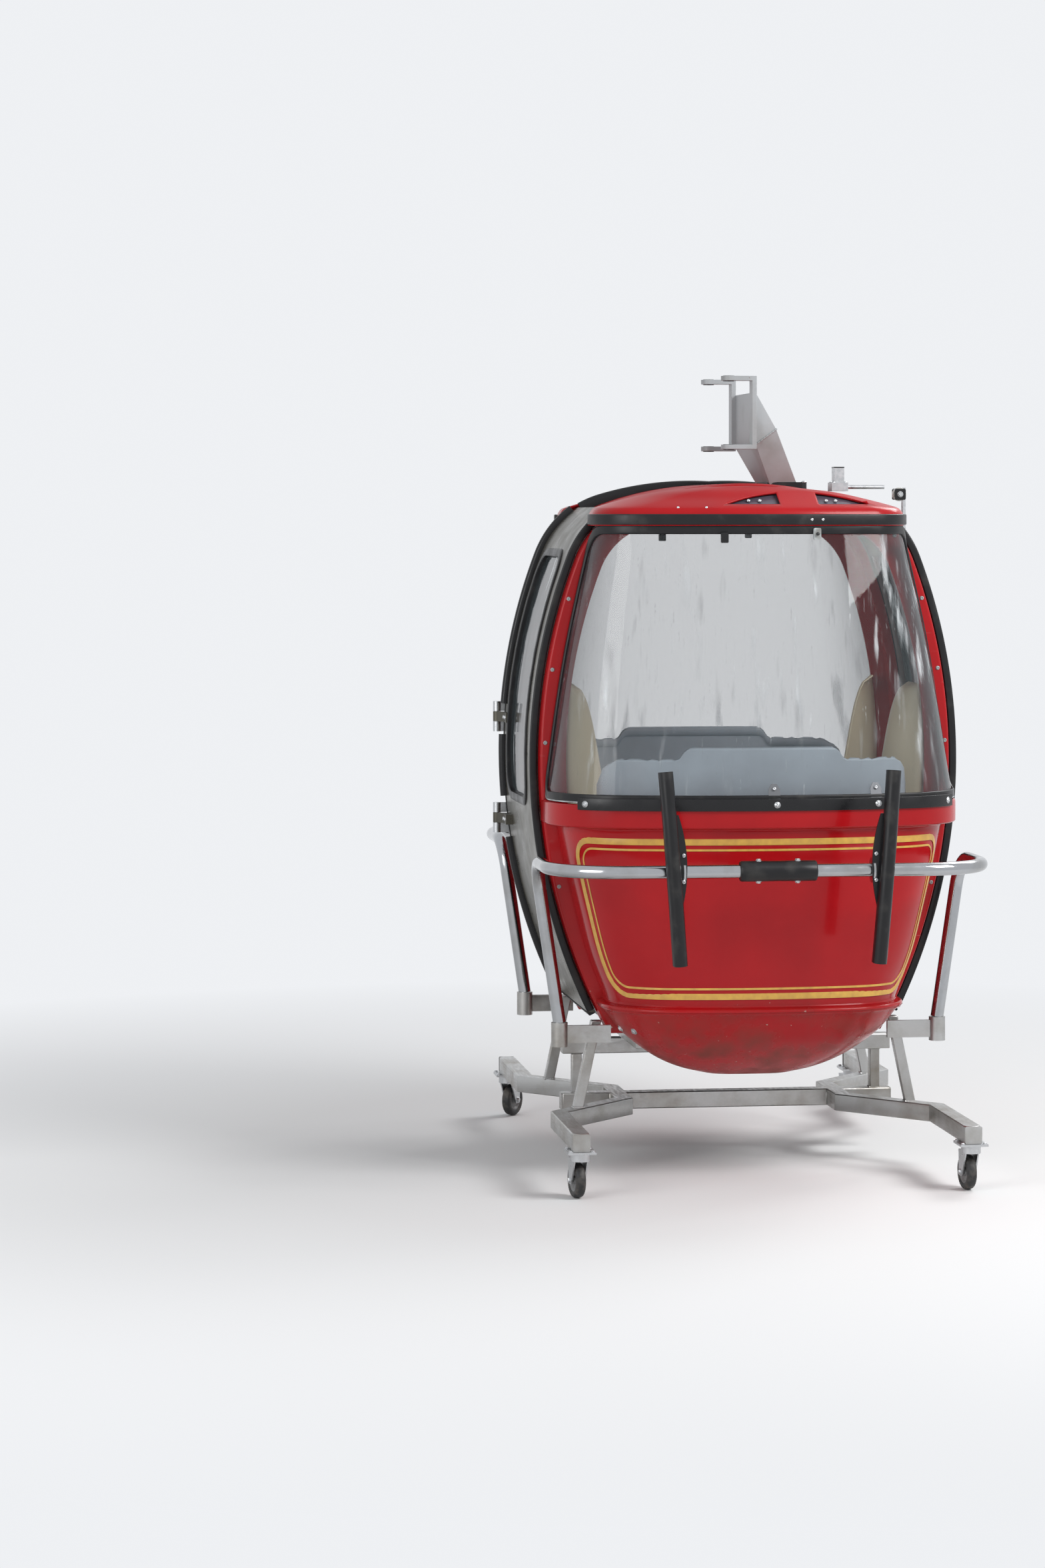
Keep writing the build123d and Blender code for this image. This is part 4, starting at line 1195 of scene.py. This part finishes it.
# %% Small fittings
tab = prism(doubled([(0.017, -0.021), (0.017, 0.008), (0.008, 0.023)]), 0.0, 0.002)
tab_steel = Finish("tab_steel", "zinc_steel", (0.15, 0.155, 0.165), 0.42, Metallic=0.6)
spots, normals = on_end(window_table, [0.014, 0.317], 1.128, 0.006)
normals = unit(normals + (0, 0, 0.2))
end_pair("window_tabs", planted(tab, spots, normals), tab_steel, sharp=30)
tab_screws = planted(screw(0.0055, 0.0035), spots + 0.002 * normals + (0, 0, 0.009), normals)
end_pair("window_tab_screws", tab_screws, zinc)
catch = prism(rounded_box(0.022, 0.030, 0.003), 0.0, 0.010)
catch_spot = on_end(window_table, [-0.102], 1.851, 0.004)
end_pair("window_catch", planted(catch, *catch_spot), black, sharp=30)
spots, normals = on_end(cap_table, [-0.234, -0.152], 1.938)
cap_rivets = planted(rivet(0.004, 0.002), spots, normals + (0, 0, 0.5))
end_pair("cap_rivets", cap_rivets, zinc)
spots, normals = on_end(lower_table, [-0.475, -0.395], 0.430)
belly_bolts = planted(hex_bolt(0.012, 0.006, 0.011), spots, normals + (0, 0, -0.6))
end_pair("belly_bolts", belly_bolts, zinc, sharp=30)

# %% [markdown]
# ## Hanger fittings
#
# The yoke's lugs take the pins of the missing grip, so each bore has a dark bush with a thin
# flange. Weld beads join the arm to the yoke's box, and screws hold the boot down.

# %% Hanger fittings
bore_x, bore_y, bore_radius, bush_radius = 0.170, -0.022, 0.0101, 0.0165
bushes = []
for end in (-1, 1):
    for z, up in ((2.126, 1), (2.112, -2), (2.330, 1), (2.316, -2)):
        top = z + up * 0.001
        flange = ring([(bore_radius, top), (bush_radius, top), (bush_radius, z), (bore_radius, z)])
        bushes.append(planted(flange, (end * bore_x, bore_y, 0), (0, 0, 1)))
make_piece("yoke_bushes", merged(bushes), dark_steel, sharp=40)


def bead(corners, normals):
    """Weld bead along straight runs between corners: a small round section with a lumpy surface."""
    radius, sides, lump, ripple = 0.0028, 8, 0.22, 1.9
    runs = zip(corners, np.roll(corners, -1, 0))
    path = np.concatenate([np.linspace(a, b, 24, endpoint=False) for a, b in runs])
    rings, faces = carry(path, normals, arc(radius, 0, 2 * pi, sides, endpoint=False), True)
    swell = 1 + lump * np.sin(np.arange(len(path)) * ripple)[:, None, None]
    return path[:, None] + (rings - path[:, None]) * swell, faces


boot_y, boot_rise, box_low, box_high = 0.170, 0.020, (0.0590, 2.126), (0.122, 2.172)
boot_z = roof_centre_z + sqrt(arch_top_radius**2 - boot_y**2)
box_edge = [(-bore_x, *box_low), (bore_x, *box_low), (bore_x, *box_high), (-bore_x, *box_high)]
make_piece("hanger_welds", bead(box_edge, (0, 0.6, 0.8)), grey_paint, sharp=60)
spots = four_spots((0, boot_y, boot_z + boot_rise), 0.097, 0.050)
make_piece("boot_screws", planted(screw(0.006, 0.004, 0.009), spots, (0, 0, 1)), zinc)

# %% [markdown]
# ## Door opening gear
#
# A rod from the block on the roof pushes a bar on the right door. The bar carries a white nylon
# roller between two black cheeks, and a black cap closes the block's post.

# %% Gear fittings
pull_z, roller_z, gear_y, gear_top_z = 1.800, 1.980, 0.345, 2.015
bar_outside, roller_inside, bar_half = 0.025, 0.015, 0.004
pull_y = on_door(0, pull_z, 1, 0)[0][1] + leaf_outer + bar_outside
roller_at = np.array([0.0, pull_y - roller_inside, roller_z])
forwards, upwards = (1, 0, 0), (0, 0, 1)


def beside_roller(shape, *offsets):
    """Copies of a shape that face forwards on the roller's axis, at distances from its middle."""
    return planted(shape, [roller_at + (offset, 0, 0) for offset in offsets], forwards)


nylon = Finish("white_nylon", "", (0.62, 0.62, 0.58), 0.35)
roller = ring(doubled([(0.0060, 0.0085), (0.0195, 0.0085), (0.0207, 0.0070)], upside_down))
make_piece("pull_roller", beside_roller(roller, 0.008), nylon, "door_right", 40)
cheek = prism(rounded_box(0.034, 0.034, 0.005), -0.0035, 0.0035)
cheeks = beside_roller(cheek, -0.0125, 0.0215)
make_piece("pull_cheeks", cheeks, black, "door_right", 30)
pull_nut = beside_roller(hex_bolt(0.013, 0.006, 0.009), 0.025)
spots = [(0.0, pull_y + bar_half, z) for z in (1.825, 1.855)]
foot_screws = planted(screw(0.005, 0.003), spots, (0, 1, 0))
make_piece("pull_fixings", merged([pull_nut, foot_screws]), zinc, "door_right", 30)
post_cap = prism(rounded_box(0.042, 0.032, 0.004), 2.059, 2.0625)
make_piece("gear_cap", planted(post_cap, (0, gear_y, 0), upwards, pi / 2), black, sharp=30, slot="")
spots = four_spots((0, gear_y, gear_top_z), 0.024, 0.018)
make_piece("gear_screws", planted(screw(0.0045, 0.003), spots, upwards), zinc)

# %% [markdown]
# ## Trolley fittings
#
# The stainless tubes are welded, so a small bead runs round the foot and head of each post. Thin
# plates close the tubes' ends.

# %% Trolley fittings
tube_top, tube_middle, beam_low, post_half = 0.187, 0.162, 0.305, 0.015
post_y, brace_x, brace_y, rail_x, rail_y, cross_y = 0.455, 0.307, 0.495, 0.830, 0.560, 0.500
end_plate = prism(rounded_box(0.049, 0.049, 0.004), -0.001, 0.003)
square = post_half * np.array([(-1, -1), (1, -1), (1, 1), (-1, 1)])


def post_bead(x, y, z, facing=1):
    """Weld bead round a square post at a height; facing -1 runs it the other way."""
    return bead([(x + dx, y + facing * dy, z) for dx, dy in square], upwards)


beads, caps = [], []
for side in (-1, 1):
    beads += [post_bead(0, side * post_y, z) for z in (tube_top, beam_low)]
    for end in (-1, 1):
        beads.append(post_bead(end * brace_x, side * brace_y, tube_top, side))
        caps.append(planted(end_plate, (end * rail_x, side * rail_y, tube_middle), (end, 0, 0)))
    caps.append(planted(end_plate, (0, side * cross_y, tube_middle), (0, side, 0)))
make_piece("trolley_welds", merged(beads), brushed, sharp=60)
make_piece("trolley_end_caps", merged(caps), brushed, sharp=40)

# %% [markdown]
# ## Castors
#
# Each castor has a rubber tyre with rounded shoulders on a grey hub with a dished face. Four
# bolts hold its plate, and a nut closes each end of the axle, which turns with the fork.

# %% Castors
tyre_rubber = Finish("tyre_rubber", "black_tyre", (0.018, 0.018, 0.018), 0.55)
tyre_dust = tyre_rubber.noise(38.0, 6.0)
tyre_rubber.two_tone(tyre_dust, 0.45, 0.7, (0.016, 0.016, 0.017), (0.085, 0.075, 0.065))
grey_hub = Finish("grey_hub", "grey_rim", (0.20, 0.20, 0.20), 0.5)
tyre_side = mm((31.8, 12), (34.5, 13.8), (42, 14), (45.5, 13.2), (48, 11), (49.4, 7.5), (50, 3))
hub_side = mm(
    (5.2, 12), (10.5, 12), (12, 10.5), (13, 7), (25, 6), (28.5, 10), (30, 11.5), (32, 11.8),
)
tyre, hub = (ring(doubled(profile, upside_down), 48) for profile in (tyre_side, hub_side))
pin_x, pin_y, trail, wheel_z, plate_top, nut_at = 0.800, 0.560, 0.032, 0.050, 0.137, 0.0212
castors = (("front_left", 1, -1, 9), ("front_right", 1, 1, 6), ("rear_left", -1, -1, -35),
           ("rear_right", -1, 1, 20))
for name, end, side, castor_deg in castors:
    turn, x, y = radians(castor_deg), end * pin_x, side * pin_y
    axis = np.array([-sin(turn), cos(turn), 0.0])
    centre = np.array([x - trail * cos(turn), y - trail * sin(turn), wheel_z])
    for part, shape, finish, sharp in (("tyre", tyre, tyre_rubber, 50), ("hub", hub, grey_hub, 35)):
        wheel_part = planted(shape, centre, axis)
        piece = make_piece(f"{name}_{part}", wheel_part, finish, f"wheel_{name}", sharp)
        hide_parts(f"castor_{part}_{name}")
    nodes[f"castor_fork_{name}"].data.materials[0] = zinc.material
    nuts = [planted(hex_bolt(0.013, 0.005, 0.009), centre + out * nut_at * axis, out * axis)
            for out in (-1, 1)]
    make_piece(f"{name}_axle_nuts", merged(nuts), zinc, f"fork_{name}", 30)
    spots = four_spots((x, y, plate_top), 0.036, 0.032)
    plate_bolts = planted(hex_bolt(0.010, 0.005, 0.007), spots, upwards)
    make_piece(f"{name}_plate_bolts", plate_bolts, zinc, sharp=30)

# %% [markdown]
# ## Floor and light
#
# The part is shown like a product in a studio: a pale floor that fades into a pale background, and
# three large soft lamps. Looking and mirroring rays see the background at full brightness, so the
# glass and the polished tubes have something white to reflect; its light on the part is dimmer.

# %% Floor and light
backdrop = (0.86, 0.875, 0.90)
floor_size, floor_drop, fade_start, fade_end = 60, 0.001, 1.5, 4.6
dim_level, full_level = 0.45, 1.0
floor_finish = Finish("pale_floor", "", (0.80, 0.80, 0.80), 0.8)
away = floor_finish.node("ShaderNodeVectorMath", "LENGTH", Vector=floor_finish.place)
fade = floor_finish.band(away.outputs["Value"], fade_start, fade_end)
glow = floor_finish.node("ShaderNodeEmission", Color=(*backdrop, 1))
blend = floor_finish.node("ShaderNodeMixShader", Fac=fade, _1=floor_finish.shader.outputs[0],
                          _2=glow.outputs[0])
floor_finish.feed(floor_finish.tree.nodes["Material Output"], Surface=blend.outputs[0])
bpy.ops.mesh.primitive_plane_add(size=floor_size, location=(0, 0, -floor_drop))
floor = bpy.context.object
floor.name = "floor"
floor.data.materials.append(floor_finish.material)

world = bpy.data.worlds.new("studio")
scene.world = world
world.use_nodes = True
sky = Nodes(world.node_tree)
rays = sky.node("ShaderNodeLightPath").outputs
seen = sky.maths("MAXIMUM", rays["Is Camera Ray"], rays["Is Glossy Ray"])
seen = sky.maths("MAXIMUM", seen, rays["Is Transmission Ray"])
level = sky.band(seen, 0.0, 1.0, dim_level, full_level)
sky.feed(sky.tree.nodes["Background"], Color=(*backdrop, 1), Strength=level)


def softbox(name, place, aim, size, power):
    """A rectangular lamp that faces a point."""
    lamp = bpy.data.lights.new(name, "AREA")
    lamp.shape = "RECTANGLE"
    lamp.size, lamp.size_y = size
    lamp.energy = power
    holder = bpy.data.objects.new(name, lamp)
    scene.collection.objects.link(holder)
    holder.location = place
    x, y, z = np.array(aim, float) - np.array(place, float)
    holder.rotation_euler = (atan2(sqrt(x**2 + y**2), -z), 0, atan2(y, x) - pi / 2)


softbox("key", (3.5, 3.5, 4.5), (0, 0, 1.0), (2.5, 2.5), 260)
softbox("fill", (4.0, -4.5, 2.5), (0, 0, 1.0), (3.0, 3.0), 110)
softbox("back", (-2.8, 3.6, 5.2), (0, 0, 1.2), (2.5, 2.5), 150)
print("lamps", [lamp.name for lamp in bpy.data.lights])
